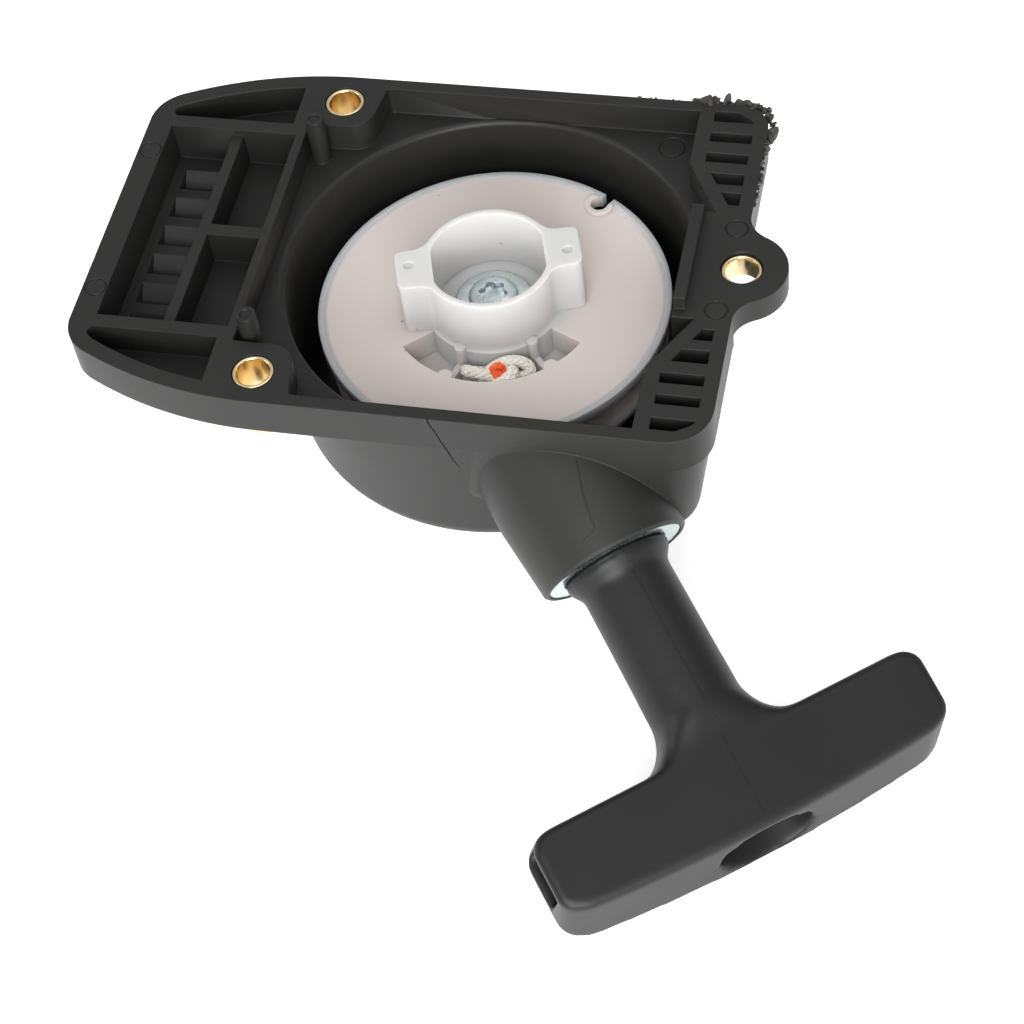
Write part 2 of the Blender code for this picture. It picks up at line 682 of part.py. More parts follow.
neck = []
for i in range(8):
    share = i / 7
    wide = stem_r - 0.1 + bar_fillet * (1 - math.sqrt(1 - share * share))
    neck.append((near - bar_fillet * (1 - share), wide, stem_r - 0.1 - 1.35 * share, 2.0 + 2.2 * share))
neck.append((near + 4.0, stem_r + bar_fillet, stem_r - 1.45, 4.2))
loft("neck", neck, 36, grip_adds, pull_frame(0.0))

block("tunnel", -half - 2.0, half + 2.0, tunnel_near, tunnel_far, -5.0, 5.0, grip_cuts, flat)
turned("cord_way", [(0, near + 6.0), (way_r, near + 6.0), (way_r, near - 12.0), (0, near - 12.0)], 16, grip_cuts,
       pull_frame(0.0))
window = [(9.6 * math.cos(2 * math.pi * i / 28), 5.4 * math.sin(2 * math.pi * i / 28)) for i in range(28)]
prism("finger_window", window, far + 3.0, near + 10.0, grip_cuts, pull_frame(0.0))

grip_profile = [(stem_r + 0.35, near + 2.5), (stem_r, 4.0), (10.6, 1.3), (10.6, 0.2), (9.9, 0.2), (9.9, -1.0),
                (6.0, -6.6), (way_r, -6.6), (way_r, near + 2.5)]
grip = turned("pull_grip", grip_profile, 40, parts, pull_frame(0.0), True)
boolean(grip, "UNION", grip_adds)
boolean(grip, "DIFFERENCE", grip_cuts)
finish(grip, rubbery)

for group in bpy.data.collections:
    if group is not parts:
        group.hide_render = True
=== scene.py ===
# %% [markdown]
# # A recoil starter, finished for looks
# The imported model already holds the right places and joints. This lesson dresses it: each
# visible piece is made again with fine edges and its own material, and rides on the body it
# belongs to. Lengths are written in millimetres and scaled once, where a mesh is made.

# %% Load the frame
import json
import math

import bmesh
import bpy
from mathutils import Matrix, Vector
from mathutils.bvhtree import BVHTree

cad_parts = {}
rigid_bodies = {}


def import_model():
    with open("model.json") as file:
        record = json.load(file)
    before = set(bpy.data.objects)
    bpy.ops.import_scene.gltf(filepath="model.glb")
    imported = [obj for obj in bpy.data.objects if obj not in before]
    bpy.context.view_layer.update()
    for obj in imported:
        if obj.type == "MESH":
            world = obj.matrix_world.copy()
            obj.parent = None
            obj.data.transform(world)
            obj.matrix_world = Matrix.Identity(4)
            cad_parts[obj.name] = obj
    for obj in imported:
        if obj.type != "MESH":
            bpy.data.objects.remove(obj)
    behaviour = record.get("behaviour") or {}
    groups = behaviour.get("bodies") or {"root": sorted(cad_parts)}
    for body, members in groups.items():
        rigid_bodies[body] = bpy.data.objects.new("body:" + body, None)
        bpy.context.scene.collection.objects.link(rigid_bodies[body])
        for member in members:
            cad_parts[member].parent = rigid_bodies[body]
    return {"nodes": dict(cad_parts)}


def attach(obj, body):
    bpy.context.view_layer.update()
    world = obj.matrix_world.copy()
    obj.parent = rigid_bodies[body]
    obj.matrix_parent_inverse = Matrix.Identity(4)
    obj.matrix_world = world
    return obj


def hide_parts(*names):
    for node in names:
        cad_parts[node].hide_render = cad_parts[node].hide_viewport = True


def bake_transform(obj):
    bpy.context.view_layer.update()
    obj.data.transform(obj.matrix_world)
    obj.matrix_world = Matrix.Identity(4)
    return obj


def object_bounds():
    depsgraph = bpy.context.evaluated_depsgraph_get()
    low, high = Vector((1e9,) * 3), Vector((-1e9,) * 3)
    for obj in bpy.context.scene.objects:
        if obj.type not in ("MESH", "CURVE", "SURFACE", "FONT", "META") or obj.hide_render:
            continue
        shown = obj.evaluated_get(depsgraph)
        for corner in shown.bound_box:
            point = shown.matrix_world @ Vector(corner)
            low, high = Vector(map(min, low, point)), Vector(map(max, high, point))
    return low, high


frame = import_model()
cad_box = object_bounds()
MM = 0.001
scene = bpy.context.scene

# %% [markdown]
# ## The camera
# A long lens from the front right, looking steeply down into the open housing. Its three
# direction vectors are written out, because the camera is also rolled a little.

# %% Camera
camera_right = Vector((0.97592, 0.19724, -0.09314))
camera_up = Vector((-0.10395, 0.79596, 0.59636))
camera_back = camera_right.cross(camera_up).normalized()
camera_up = camera_back.cross(camera_right).normalized()
camera = bpy.data.objects.new("camera", bpy.data.cameras.new("camera"))
scene.collection.objects.link(camera)
camera.data.lens = 82.22
camera.data.sensor_width = 36.0
camera.data.clip_end = 20.0
camera.matrix_world = Matrix((camera_right.normalized(), camera_up, camera_back)).transposed().to_4x4()
camera.matrix_world.translation = (0.09599, -0.29583, 0.32614)
scene.camera = camera
scene.view_settings.view_transform = "Standard"
print("camera", round(camera.matrix_world.translation.length, 3), "m away")

# %% [markdown]
# ## Small tools for solids
# Nearly every moulded piece is a flat outline given a thickness or a profile turned round an
# axis, joined or cut by other such solids. These helpers make both sorts and keep the cutters
# in a collection of their own, so one Boolean modifier can use a whole group at once.

# %% Groups, prisms and turned solids
workshop = bpy.data.collections.new("workshop")
scene.collection.children.link(workshop)


def group(name):
    made = bpy.data.collections.new(name)
    workshop.children.link(made)
    return made


def place(name, data, home):
    obj = bpy.data.objects.new(name, data)
    home.objects.link(obj)
    return obj


def prism(name, outline, top, bottom, home, turn=None):
    """A flat outline, thickened from its top height down to its bottom height."""
    mesh = bpy.data.meshes.new(name)
    mesh.from_pydata([(x * MM, y * MM, top * MM) for x, y in outline], [], [range(len(outline))])
    if mesh.polygons[0].normal.z < 0:
        mesh.flip_normals()
    if turn:
        mesh.transform(turn)
    obj = place(name, mesh, home)
    thick = obj.modifiers.new("thickness", "SOLIDIFY")
    thick.thickness = (top - bottom) * MM
    thick.offset = -1.0
    return obj


def block(name, x0, x1, y0, y1, z0, z1, home, turn=None):
    return prism(name, [(x0, y0), (x1, y0), (x1, y1), (x0, y1)], z1, z0, home, turn)


def turned(name, profile, steps, home, turn=None, closed=False):
    """A profile of (radius, height) spun once round Z."""
    mesh = bpy.data.meshes.new(name)
    edges = [(i, i + 1) for i in range(len(profile) - 1)]
    if closed:
        edges.append((len(profile) - 1, 0))
    mesh.from_pydata([(r * MM, 0.0, z * MM) for r, z in profile], edges, [])
    obj = place(name, mesh, home)
    obj.matrix_world = turn or Matrix()
    spin = obj.modifiers.new("spin", "SCREW")
    spin.steps = spin.render_steps = steps
    spin.use_merge_vertices = True
    spin.merge_threshold = 0.00001
    spin.use_smooth_shade = False
    return obj


def rod(name, radius, top, bottom, x, y, home, steps=48):
    spot = Matrix.Translation((x * MM, y * MM, 0.0))
    return turned(name, [(0, top), (radius, top), (radius, bottom), (0, bottom)], steps, home, spot)


def arc(cx, cy, radius, start, stop, count):
    """Points along a circular arc, angles in degrees."""
    angles = [math.radians(start + (stop - start) * i / count) for i in range(count + 1)]
    return [(cx + radius * math.cos(a), cy + radius * math.sin(a)) for a in angles]


def mirrored(points):
    return [(x, -y) for x, y in reversed(points)]


def rounded_profile(profile, radius, count=3):
    """The same closed profile with each corner cut to a small arc-like curve."""
    found = []
    for i, here in enumerate(profile):
        before = Vector(profile[i - 1])
        after = Vector(profile[(i + 1) % len(profile)])
        here = Vector(here)
        reach = min(radius, (before - here).length * 0.4, (after - here).length * 0.4)
        first = here + (before - here).normalized() * reach
        last = here + (after - here).normalized() * reach
        for j in range(count + 1):
            t = j / count
            found.append(tuple(first * (1 - t) ** 2 + here * 2 * t * (1 - t) + last * t * t))
    return found


print("solid tools ready")

# %% [markdown]
# ## Joining, softening and baking
# Moulded plastic never has a razor edge, so after the Booleans a narrow bevel catches the
# light. Baking turns the stack of modifiers into a plain mesh that sits at the origin.

# %% Booleans, bevels and baking
merge_below = 0.000002


def combine(obj, operation, home):
    step = obj.modifiers.new(operation.lower(), "BOOLEAN")
    step.operation = operation
    step.solver = "EXACT"
    step.operand_type = "COLLECTION"
    step.collection = home


def soften(obj, width, segments=2, sharpest=40.0):
    soft = obj.modifiers.new("soft edge", "BEVEL")
    soft.width = width * MM
    soft.segments = segments
    soft.limit_method = "ANGLE"
    soft.angle_limit = math.radians(sharpest)
    soft.use_clamp_overlap = True


def result_of(obj):
    """The shape that an object's modifiers give, as a new mesh."""
    graph = bpy.context.evaluated_depsgraph_get()
    mesh = bpy.data.meshes.new_from_object(obj.evaluated_get(graph), depsgraph=graph)
    mesh.name = obj.name
    return mesh


def bake(obj, smooth=35.0):
    """Apply every modifier and the placement; shade smooth below the given angle."""
    mesh = result_of(obj)
    mesh.transform(obj.matrix_world)
    obj.modifiers.clear()
    obj.data = mesh
    obj.matrix_world = Matrix()
    work = bmesh.new()
    work.from_mesh(mesh)
    bmesh.ops.remove_doubles(work, verts=work.verts, dist=merge_below)
    bmesh.ops.dissolve_degenerate(work, edges=work.edges, dist=merge_below)
    work.to_mesh(mesh)
    work.free()
    mesh.shade_smooth()
    mesh.set_sharp_from_angle(angle=math.radians(smooth))
    return obj


def hand_over(obj, material, body, slot, *nodes):
    """Give a finished piece its material, its body and the node that it stands for."""
    if material:
        obj.data.materials.clear()
        obj.data.materials.append(material)
    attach(obj, body)
    if nodes:
        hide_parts(*nodes)
    print(obj.name, len(obj.data.polygons), "faces on", body)
    return obj


print("baking tools ready")

# %% [markdown]
# ## Lines and node trees
# Cords, seams and ragged edges all begin as a line through points. Some get their thickness
# from the curve itself, the others from a Geometry Nodes tree with named inputs. Either way the
# result is kept as a plain mesh and the line goes away. Materials use the same node helpers.

# %% Lines, node trees and their results
def line_through(name, points, closed=False):
    """A curve of straight pieces through points in metres."""
    data = bpy.data.curves.new(name, "CURVE")
    data.dimensions = "3D"
    line = data.splines.new("POLY")
    line.points.add(len(points) - 1)
    for spot, point in zip(points, line.points):
        point.co = (*spot, 1.0)
    line.use_cyclic_u = closed
    return place(name + "_line", data, scene.collection)


def take_result(name, line):
    """The line's result becomes a piece, and the line is removed."""
    mesh = result_of(line)
    mesh.name = name
    bpy.data.objects.remove(line, do_unlink=True)
    return place(name, mesh, scene.collection)


def feed(target, feeds):
    """Set each input of a node to a value, or link it to the output of another node."""
    for key, value in feeds.items():
        if isinstance(value, bpy.types.NodeSocket):
            target.id_data.links.new(value, target.inputs[key])
        else:
            target.inputs[key].default_value = value


def node(tree, kind, feeds=(), **settings):
    """Add a node, choose its settings and feed its inputs."""
    made = tree.nodes.new(kind)
    for key, value in settings.items():
        setattr(made, key, value)
    feed(made, dict(feeds))
    return made


def new_tree(name, inputs):
    """A Geometry Nodes tree with named inputs; also gives those inputs and the output node."""
    tree = bpy.data.node_groups.new(name, "GeometryNodeTree")
    socket = tree.interface.new_socket
    for label, kind in {"Geometry": "Geometry", **inputs}.items():
        socket(label, in_out="INPUT", socket_type="NodeSocket" + kind)
    socket("Geometry", in_out="OUTPUT", socket_type="NodeSocketGeometry")
    return tree, node(tree, "NodeGroupInput").outputs, node(tree, "NodeGroupOutput")


def run_tree(obj, tree, values):
    """Put the tree on an object as a modifier and set its named inputs."""
    step = obj.modifiers.new(tree.name, "NODES")
    step.node_group = tree
    names = {item.name: item.identifier for item in tree.interface.items_tree
             if item.in_out == "INPUT"}
    for label, value in values.items():
        step[names[label]] = value


print("line tools ready")

# %% [markdown]
# ## Materials
# Every finish is a small node tree on Object coordinates. The helper lays a fine grain, a
# slower change of tone and a light bump over a base colour, which is what moulded nylon, plate
# and turned brass all need in different amounts. The housing has too many thin ribs for a real
# bevel, so its material rounds the look of every edge instead.

# %% A grained surface
def surface(name, colour, second, roughness, metallic=0.0, grain=4000.0, bump=0.15, depth=0.00005,
            tone=120.0, swing=0.08, specular=0.5, edge=0.0):
    """Two colours mixed by slow noise, which also varies the roughness, under a fine bump.

    An edge radius above zero, in metres, also rounds the look of sharp edges.
    """
    mat = bpy.data.materials.new(name)
    mat.use_nodes = True
    tree = mat.node_tree
    where = node(tree, "ShaderNodeTexCoord").outputs["Object"]
    slow = node(tree, "ShaderNodeTexNoise", {"Vector": where, "Scale": tone, "Detail": 5.0}).outputs["Fac"]
    fine = node(tree, "ShaderNodeTexNoise", {"Vector": where, "Scale": grain, "Detail": 3.0}).outputs["Fac"]
    mix = node(tree, "ShaderNodeMix", {"A": (*colour, 1.0), "B": (*second, 1.0), "Factor": slow},
               data_type="RGBA")
    shine = node(tree, "ShaderNodeMapRange",
                 {"Value": slow, "To Min": roughness - swing, "To Max": roughness + swing})
    raised = node(tree, "ShaderNodeBump", {"Strength": bump, "Distance": depth, "Height": fine})
    if edge:
        worn = node(tree, "ShaderNodeBevel", {"Radius": edge}, samples=4)
        feed(raised, {"Normal": worn.outputs["Normal"]})
    feed(tree.nodes["Principled BSDF"],
         {"Metallic": metallic, "Specular IOR Level": specular, "Base Color": mix.outputs["Result"],
          "Roughness": shine.outputs["Result"], "Normal": raised.outputs["Normal"]})
    return mat


housing_black = surface("housing_black", (0.009, 0.009, 0.0088), (0.015, 0.0147, 0.014), 0.46,
                        grain=5200.0, bump=0.35, tone=60.0, specular=0.28, edge=0.00035)
grip_black = surface("grip_black", (0.006, 0.006, 0.006), (0.010, 0.010, 0.0097), 0.44,
                     grain=6500.0, bump=0.18, tone=45.0, specular=0.22)
burr_black = surface("burr_black", (0.008, 0.008, 0.0075), (0.045, 0.043, 0.040), 0.55,
                     grain=2500.0, bump=0.5, tone=700.0, specular=0.36)
brass = surface("bright_brass", (0.76, 0.59, 0.33), (0.86, 0.70, 0.44), 0.22, metallic=1.0,
                grain=3000.0, bump=0.06, tone=300.0, swing=0.06)
zinc = surface("zinc_plate", (0.42, 0.52, 0.55), (0.72, 0.78, 0.78), 0.27, metallic=1.0,
               grain=3500.0, bump=0.08, tone=500.0)
spring_blue = surface("spring_strip", (0.10, 0.11, 0.13), (0.20, 0.21, 0.23), 0.30,
                      metallic=1.0, tone=90.0)
cassette_grey = surface("cassette_nylon", (0.07, 0.07, 0.07), (0.10, 0.10, 0.10), 0.5)
rope_white = surface("rope_white", (0.66, 0.62, 0.55), (0.82, 0.79, 0.73), 0.62,
                     grain=9000.0, bump=0.5, tone=900.0)
rope_red = surface("rope_red", (0.70, 0.10, 0.02), (0.85, 0.16, 0.04), 0.6,
                   grain=9000.0, bump=0.5, tone=900.0)
print(len(bpy.data.materials), "materials")

# %% [markdown]
# Natural nylon lets light sink in, so the rotor gets subsurface scattering. The flange is thin
# and the cord under it tints it a warm pink, while the thick hub in the middle stays a cool
# white. Distance from the rotor axis and height drive that change of colour, the raised rim is
# a little clearer, and a sparse noise drops the few dark specks that reground plastic has.

# %% Rotor nylon
def rotor_surface():
    hub_edge, plate_start, reach_span = 0.0130, 0.0185, 0.04
    mat = surface("rotor_nylon", (0.47, 0.47, 0.465), (0.52, 0.52, 0.515), 0.42, grain=2600.0,
                  bump=0.05, tone=40.0, swing=0.05)
    tree = mat.node_tree
    shader = tree.nodes["Principled BSDF"]
    where = next(n for n in tree.nodes if n.type == "TEX_COORD").outputs["Object"]
    plain = shader.inputs["Base Color"].links[0].from_socket

    def between(value, start, stop):
        """How far the value has come from start to stop, held between 0 and 1."""
        return node(tree, "ShaderNodeMapRange",
                    {"Value": value, "From Min": start, "From Max": stop}).outputs["Result"]

    def laid_over(below, colour, share):
        """A plain colour over the one below, as strongly as the share says."""
        return node(tree, "ShaderNodeMix", {"A": below, "B": (*colour, 1.0), "Factor": share},
                    data_type="RGBA").outputs["Result"]

    flatten = node(tree, "ShaderNodeVectorMath", {0: where, 1: (1.0, 1.0, 0.0)}, operation="MULTIPLY")
    reach = node(tree, "ShaderNodeVectorMath", {0: flatten.outputs[0]}, operation="LENGTH").outputs["Value"]
    spread = node(tree, "ShaderNodeMath", {0: reach, 1: reach_span}, operation="DIVIDE")
    ring = node(tree, "ShaderNodeValToRGB", {"Fac": spread.outputs[0]})
    first, last = ring.color_ramp.elements
    first.position, first.color = hub_edge / reach_span, (0, 0, 0, 1)
    last.position, last.color = plate_start / reach_span, (1, 1, 1, 1)
    height = node(tree, "ShaderNodeSeparateXYZ", {0: where}).outputs["Z"]
    on_plate = node(tree, "ShaderNodeMath",
                    {0: ring.outputs["Color"], 1: between(height, -0.0138, -0.0152)}, operation="MULTIPLY")
    specks = node(tree, "ShaderNodeTexVoronoi", {"Vector": where, "Scale": 130.0})
    dots = node(tree, "ShaderNodeMath", {0: specks.outputs["Distance"], 1: 0.035}, operation="LESS_THAN")
    warm = laid_over(plain, (0.575, 0.515, 0.492), on_plate.outputs[0])
    clear_rim = laid_over(warm, (0.37, 0.38, 0.39), between(reach, 0.0331, 0.0337))
    feed(shader, {"Base Color": laid_over(clear_rim, (0.30, 0.27, 0.24), dots.outputs[0]),
                  "Subsurface Weight": 0.7, "Subsurface Radius": (1.0, 0.75, 0.65),
                  "Subsurface Scale": 0.004})
    return mat


rotor_nylon = rotor_surface()
print("rotor nylon ready")

# %% [markdown]
# ## Sizes of the housing
# The housing is one moulding: a shallow tray with a flat mating face, a round bowl for the
# rotor sunk into it, an intake box with louvres on the left, and a tube for the cord at the
# front right corner. These are its main sizes, and the directions of the cord tube.

# %% Housing sizes and the pull direction
left_x, right_x, half_y = 76.0, 49.2, 43.2
wall = 2.6
rim = 5.0
tray_depth, tray_floor = 8.5, 2.0
dome_depth, bowl_draft, bowl_round = 40.0, 1.5, 6.0
corner_depth, corner_draft = 31.0, 6.5
vent_depth = 12.0
bolt_x, bolt_y = -37.0, 36.0
bush_r, bush_bore = 3.95, 3.2
ear_r, ear_thick = 8.8, 5.5
cell_x = (58.2, 56.0, 44.7, 42.8)
cell_half_y, cell_depth = 25.7, 9.0
panel_t = 4.2
louvre_pitch, louvre_gap, louvre_drop = 7.8, 5.2, panel_t + 2.0
shelf = -tray_depth + tray_floor
bowl_floor = -dome_depth + 2.4

yaw, fall = math.radians(-51.0), math.radians(22.0)
pull = Vector((math.cos(yaw) * math.cos(fall), math.sin(yaw) * math.cos(fall), -math.sin(fall)))
across = Vector((-math.sin(yaw), math.cos(yaw), 0.0))
upward = pull.cross(across)
mouth = Vector((32.4, -50.6, -27.9))
throat = mouth - pull * 12.0
tube_r, guide_r, guide_bore = 14.9, 13.7, 10.5


def pull_frame(distance):
    """Z runs along the pull direction, at a distance from the mouth of the tube."""
    basis = Matrix((across, upward, pull)).transposed().to_4x4()
    basis.translation = (mouth + pull * distance) * MM
    return basis


print("the cord leaves along", [round(v, 2) for v in pull])

# %% [markdown]
# ## Outlines
# The mating face is drawn as one closed outline: a long shallow curve at each left corner,
# plain rounded corners on the right, and a round ear for the third screw. The opening of the
# chamber and the crescent pockets follow it at an inset.

# %% Outlines of the mating face
def bend(first, corner, last, count):
    """A quadratic curve from first to last that leans towards the corner."""
    first, corner, last = Vector(first), Vector(corner), Vector(last)
    steps = [i / count for i in range(1, count + 1)]
    return [tuple(first * (1 - t) ** 2 + corner * 2 * t * (1 - t) + last * t * t) for t in steps]


def left_curve(inset):
    reach, drop = left_x - 42.0, 7.8
    big = (reach ** 2 + drop ** 2) / (2 * drop)
    swing = math.degrees(math.asin(reach / big))
    return arc(-left_x + 40.0, half_y - big, big - inset, 90.0, 90.0 + swing, 22)


def tray_outline():
    left = left_curve(0.0)
    left += bend(left[-1], (-left_x + 0.6, left[-1][1] - 2.2), (-left_x, left[-1][1] - 7.6), 8)
    rear_corner = arc(right_x - 6.5, half_y - 6.5, 6.5, 0.0, 90.0, 12)
    front_corner = arc(right_x - 8.5, -half_y + 8.5, 8.5, -90.0, 0.0, 14)
    ear = arc(right_x, 0.0, ear_r, -62.0, 62.0, 30)
    root = bend(ear[-1], (right_x + 0.4, ear[-1][1] + 1.6), (right_x, ear[-1][1] + 5.0), 7)
    return front_corner + mirrored(root) + ear + root + rear_corner + left + mirrored(left)


def chamber_outline():
    inner = half_y - wall
    frame_x = right_x - 14.0
    boss = [(-34.2, 29.1)] + bend((-34.2, 29.1), (-30.4, 29.6), (-29.9, 34.4), 8)
    rear = [(-cell_x[3], 29.0)] + boss + [(-29.1, inner - 0.7)]
    rear += bend((-29.1, inner - 0.7), (-28.9, inner), (-28.0, inner), 3)
    rear += [(frame_x, inner), (frame_x, 26.2), (right_x - 6.9, 13.6), (right_x - 11.2, 13.6)]
    return rear + mirrored(rear)


def crescent():
    start_x = bolt_x - 9.0
    low = cell_half_y + 2.9
    edge = [p for p in left_curve(3.2) if p[0] < start_x - 0.5]
    tip = edge[-1]
    nose = bend(tip, (tip[0] - 4.6, low + 2.0), (tip[0] - 2.2, low), 6)
    return [(start_x, edge[0][1] + 0.22 * (start_x - edge[0][0]))] + edge + nose + [(start_x, low)]


print(len(tray_outline()), "points round the mating face")

# %% [markdown]
# ## Outside of the housing
# The tray is the first prism. Everything that adds to its outside is joined to it: the turned
# bowl, the leaning corner block beside the cord tube, the tube itself and the louvre panel.

# %% Bowl, corner, tube and panel
outer = group("housing_outer")
soft_turn = [(half_y - bowl_draft - bowl_round * (1 - math.cos(a)),
              -dome_depth + bowl_round - bowl_round * math.sin(a))
             for a in [math.radians(90.0 * i / 14) for i in range(15)]]
turned("bowl", [(0.0, -1.0), (half_y, -1.0), (half_y, -tray_depth)] + soft_turn + [(0.0, -dome_depth)],
       160, outer)

hinge = Matrix.Translation((right_x * MM, -half_y * MM, -4.0 * MM))
corner_lean = hinge @ Matrix.Rotation(math.radians(corner_draft), 4, "Y")
corner_shape = [(-46.0, 0.02)] + arc(-9.2, 8.5, 8.5, -90.0, 0.0, 14) + [(-0.7, 31.0), (-46.0, 31.0)]
corner = prism("square_corner", corner_shape, 1.5, 4.0 - corner_depth, outer, corner_lean)
soften(corner, 5.0, 6, 60.0)

turned("cord_tube", [(0, 0), (tube_r - 0.5, 0), (tube_r, -0.5), (tube_r + 1.3, -15.0), (tube_r + 1.3, -30),
                     (0, -30)], 96, outer, pull_frame(0.0))
for side in (1, -1):
    rod("boss", 6.6, -1.0, -tray_depth - 0.5, bolt_x, side * bolt_y, outer)
panel_edge = (bolt_x - 6.0, cell_half_y + 3.0)
block("louvre_panel", -left_x + 3.0, panel_edge[0], -panel_edge[1], panel_edge[1],
      -cell_depth - panel_t, -1.0, outer)

# %% [markdown]
# ## Hollows
# The chamber, the bowl, the cells of the intake box and the two crescents are cut away, and so
# are the holes for the screw bushings. The corner space leans with its outer wall, so that wall
# stays evenly thick.

# %% Chamber, bowl and pockets
hollow = group("housing_hollows")
prism("chamber", chamber_outline(), 20.0, shelf, hollow)
bowl_r = half_y - wall - 0.25
inner_round = bowl_round - 2.2
inner_turn = [(bowl_r - bowl_draft - inner_round * (1 - math.cos(a)),
               bowl_floor + inner_round - inner_round * math.sin(a))
              for a in [math.radians(90.0 * i / 10) for i in range(11)]]
lip = [(bowl_r + 1.4, shelf + 0.4)] + [(bowl_r + 1.2 * (1 - math.sin(a)), shelf - 1.2 * (1 - math.cos(a)))
                                       for a in [math.radians(15.0 * i) for i in range(7)]]
turned("bowl_space", [(0.0, shelf + 0.4)] + lip + inner_turn + [(0.0, bowl_floor)], 160, hollow)
block("corner_space", -45.0, -0.7 - wall, wall, 29.0, 4.0 - corner_depth + wall, 4.0 - vent_depth, hollow,
      corner_lean)
block("face_trim", -20.0, right_x + 5.0, -half_y - 3.0, -half_y + 6.0, 0.0, 8.0, hollow)
block("frame_space", 4.0, right_x - 14.0, -half_y + wall, -20.0, -vent_depth - 1.0, -5.0, hollow)
for x, y in ((bolt_x, bolt_y), (bolt_x, -bolt_y), (right_x, 0.0)):
    rod("screw_way", bush_r + 0.1, 5.0, -40.0, x, y, hollow)
block("under_ear", right_x - 3.0, right_x + ear_r + 2.0, -ear_r - 3.4, ear_r + 3.4,
      -40.0, -ear_thick, hollow)
block("intake_cell", -left_x + rim, -cell_x[0], -cell_half_y, cell_half_y, -cell_depth, 5.0, hollow)
block("rear_cell", -cell_x[1], -cell_x[2], 1.1, cell_half_y, -cell_depth, 5.0, hollow)
block("front_cell", -cell_x[1], -cell_x[2], -cell_half_y, -1.7, -cell_depth, 5.0, hollow)
block("low_ribs", -cell_x[0] - 0.5, -cell_x[2] - 0.01, -cell_half_y + 0.01, cell_half_y - 0.01,
      -1.5, 5.0, hollow)
prism("rear_crescent", crescent(), 5.0, shelf, hollow)
prism("front_crescent", mirrored(crescent()), 5.0, shelf, hollow)

# %% [markdown]
# ## Louvres and air slots
# Six slots in the floor of the intake cell lean towards the front as they go down, which keeps
# dust out. The air slots in the right-hand frame stay between two rails, so their inner ends
# follow its slanted edge.

# %% Louvres and slots
sideways = Matrix(((0, 0, 1, 0), (1, 0, 0, 0), (0, 1, 0, 0), (0, 0, 0, 1)))
for i in range(6):
    y0 = (i - 2.5) * louvre_pitch - louvre_gap / 2
    low = -cell_depth - louvre_drop
    leaning = [(y0 + 1.0, 1.0 - cell_depth), (y0 + louvre_gap + 1.0, 1.0 - cell_depth),
               (y0 + louvre_gap - louvre_drop, low), (y0 - louvre_drop, low)]
    prism("louvre", leaning, -cell_x[0] - 1.6, -left_x + rim + 2.2, hollow, sideways)

slot_out = right_x - 2.8


def slot_inner(y):
    return right_x - 11.0 + max(0.0, (26.6 - y) * 0.56)


def air_slot(low, high):
    outside = [(slot_out, low), (slot_out, high)]
    if high > half_y - 3.5:
        outside = [(slot_out, low), (slot_out - 0.9, low + 1.2), (slot_out - 3.6, high)]
    return [(slot_inner(low), low)] + outside + [(slot_inner(high), high)]


for high, low in [(40.9, 38.0), (35.0, 32.4), (29.4, 26.8), (24.0, 21.0), (19.0, 15.7)]:
    prism("rear_slot", air_slot(low, high), 5.0, -tray_depth - 1.0, hollow)
for high, low in [(18.7, 15.9), (24.2, 21.1), (29.5, 27.0), (34.5, 32.2), (40.4, 37.6)]:
    prism("front_slot", mirrored(air_slot(low, high)), 5.0, -vent_depth - 2.0, hollow)
print("6 louvres and 10 air slots")

# %% [markdown]
# ## Marks of the mould
# Ejector pins leave fine rings on the flat faces, and where two flows of plastic met, the front
# wall shows a thin weld line that has opened a little. Both are cut as real, shallow grooves.

# %% Ejector rings, weld line and cord bore
marks = group("housing_marks")


def ejector_ring(x, y, z, radius):
    """A fine round groove, 0.3 mm wide and 0.2 mm deep."""
    near_r, far_r, low = radius - 0.15, radius + 0.15, z - 0.2
    ring = [(far_r, z + 0.3), (far_r, low), (near_r, low), (near_r, z + 0.3)]
    turned("ejector_ring", ring, 48, marks, Matrix.Translation((x * MM, y * MM, 0.0)), True)


for x, y in ((-73.35, 18.3), (-73.35, -19.1), (46.9, 9.7), (46.0, -11.1)):
    ejector_ring(x, y, 0.0, 2.1)
ejector_ring(30.0, 36.4, shelf, 2.6)

weld = [(-2.1, 0.5), (-1.7, -1.6), (-0.6, -4.4), (-0.2, -6.0), (0.9, -9.1), (1.5, -11.6),
        (2.7, -14.4), (4.1, -18.5)]
weld_width = 0.13
upright = Matrix(((1, 0, 0, 0), (0, 0, -1, 0), (0, 1, 0, 0), (0, 0, 0, 1)))
weld_shape = [(x - weld_width, z) for x, z in weld]
weld_shape += [(x + weld_width, z) for x, z in reversed(weld)]
prism("weld_line", weld_shape, half_y + 1.0, half_y - 0.45, marks, upright)

turned("cord_bore", [(0, 5.3), (guide_r + 0.1, 5.3), (guide_r + 0.1, -1.5), (guide_r - 1.8, -1.5),
                     (guide_r - 1.8, -22), (0, -22)], 96, hollow, pull_frame(0.0))
lead_line = Vector((0.94202, -0.33555, -0.00012))
lead_frame = lead_line.to_track_quat("Z", "Y").to_matrix().to_4x4()
lead_frame.translation = throat * MM
turned("lead_way", [(0, 0), (2.6, 0), (2.6, -24.0), (0, -24.0)], 24, hollow, lead_frame)
print("marks of the mould ready")

# %% [markdown]
# ## The housing, put together
# Late additions stand inside the hollows: the rotor post, the ring that seats the spring
# cassette, two locating pins and the guard rib by the ear. The pins have slightly hollow tops.

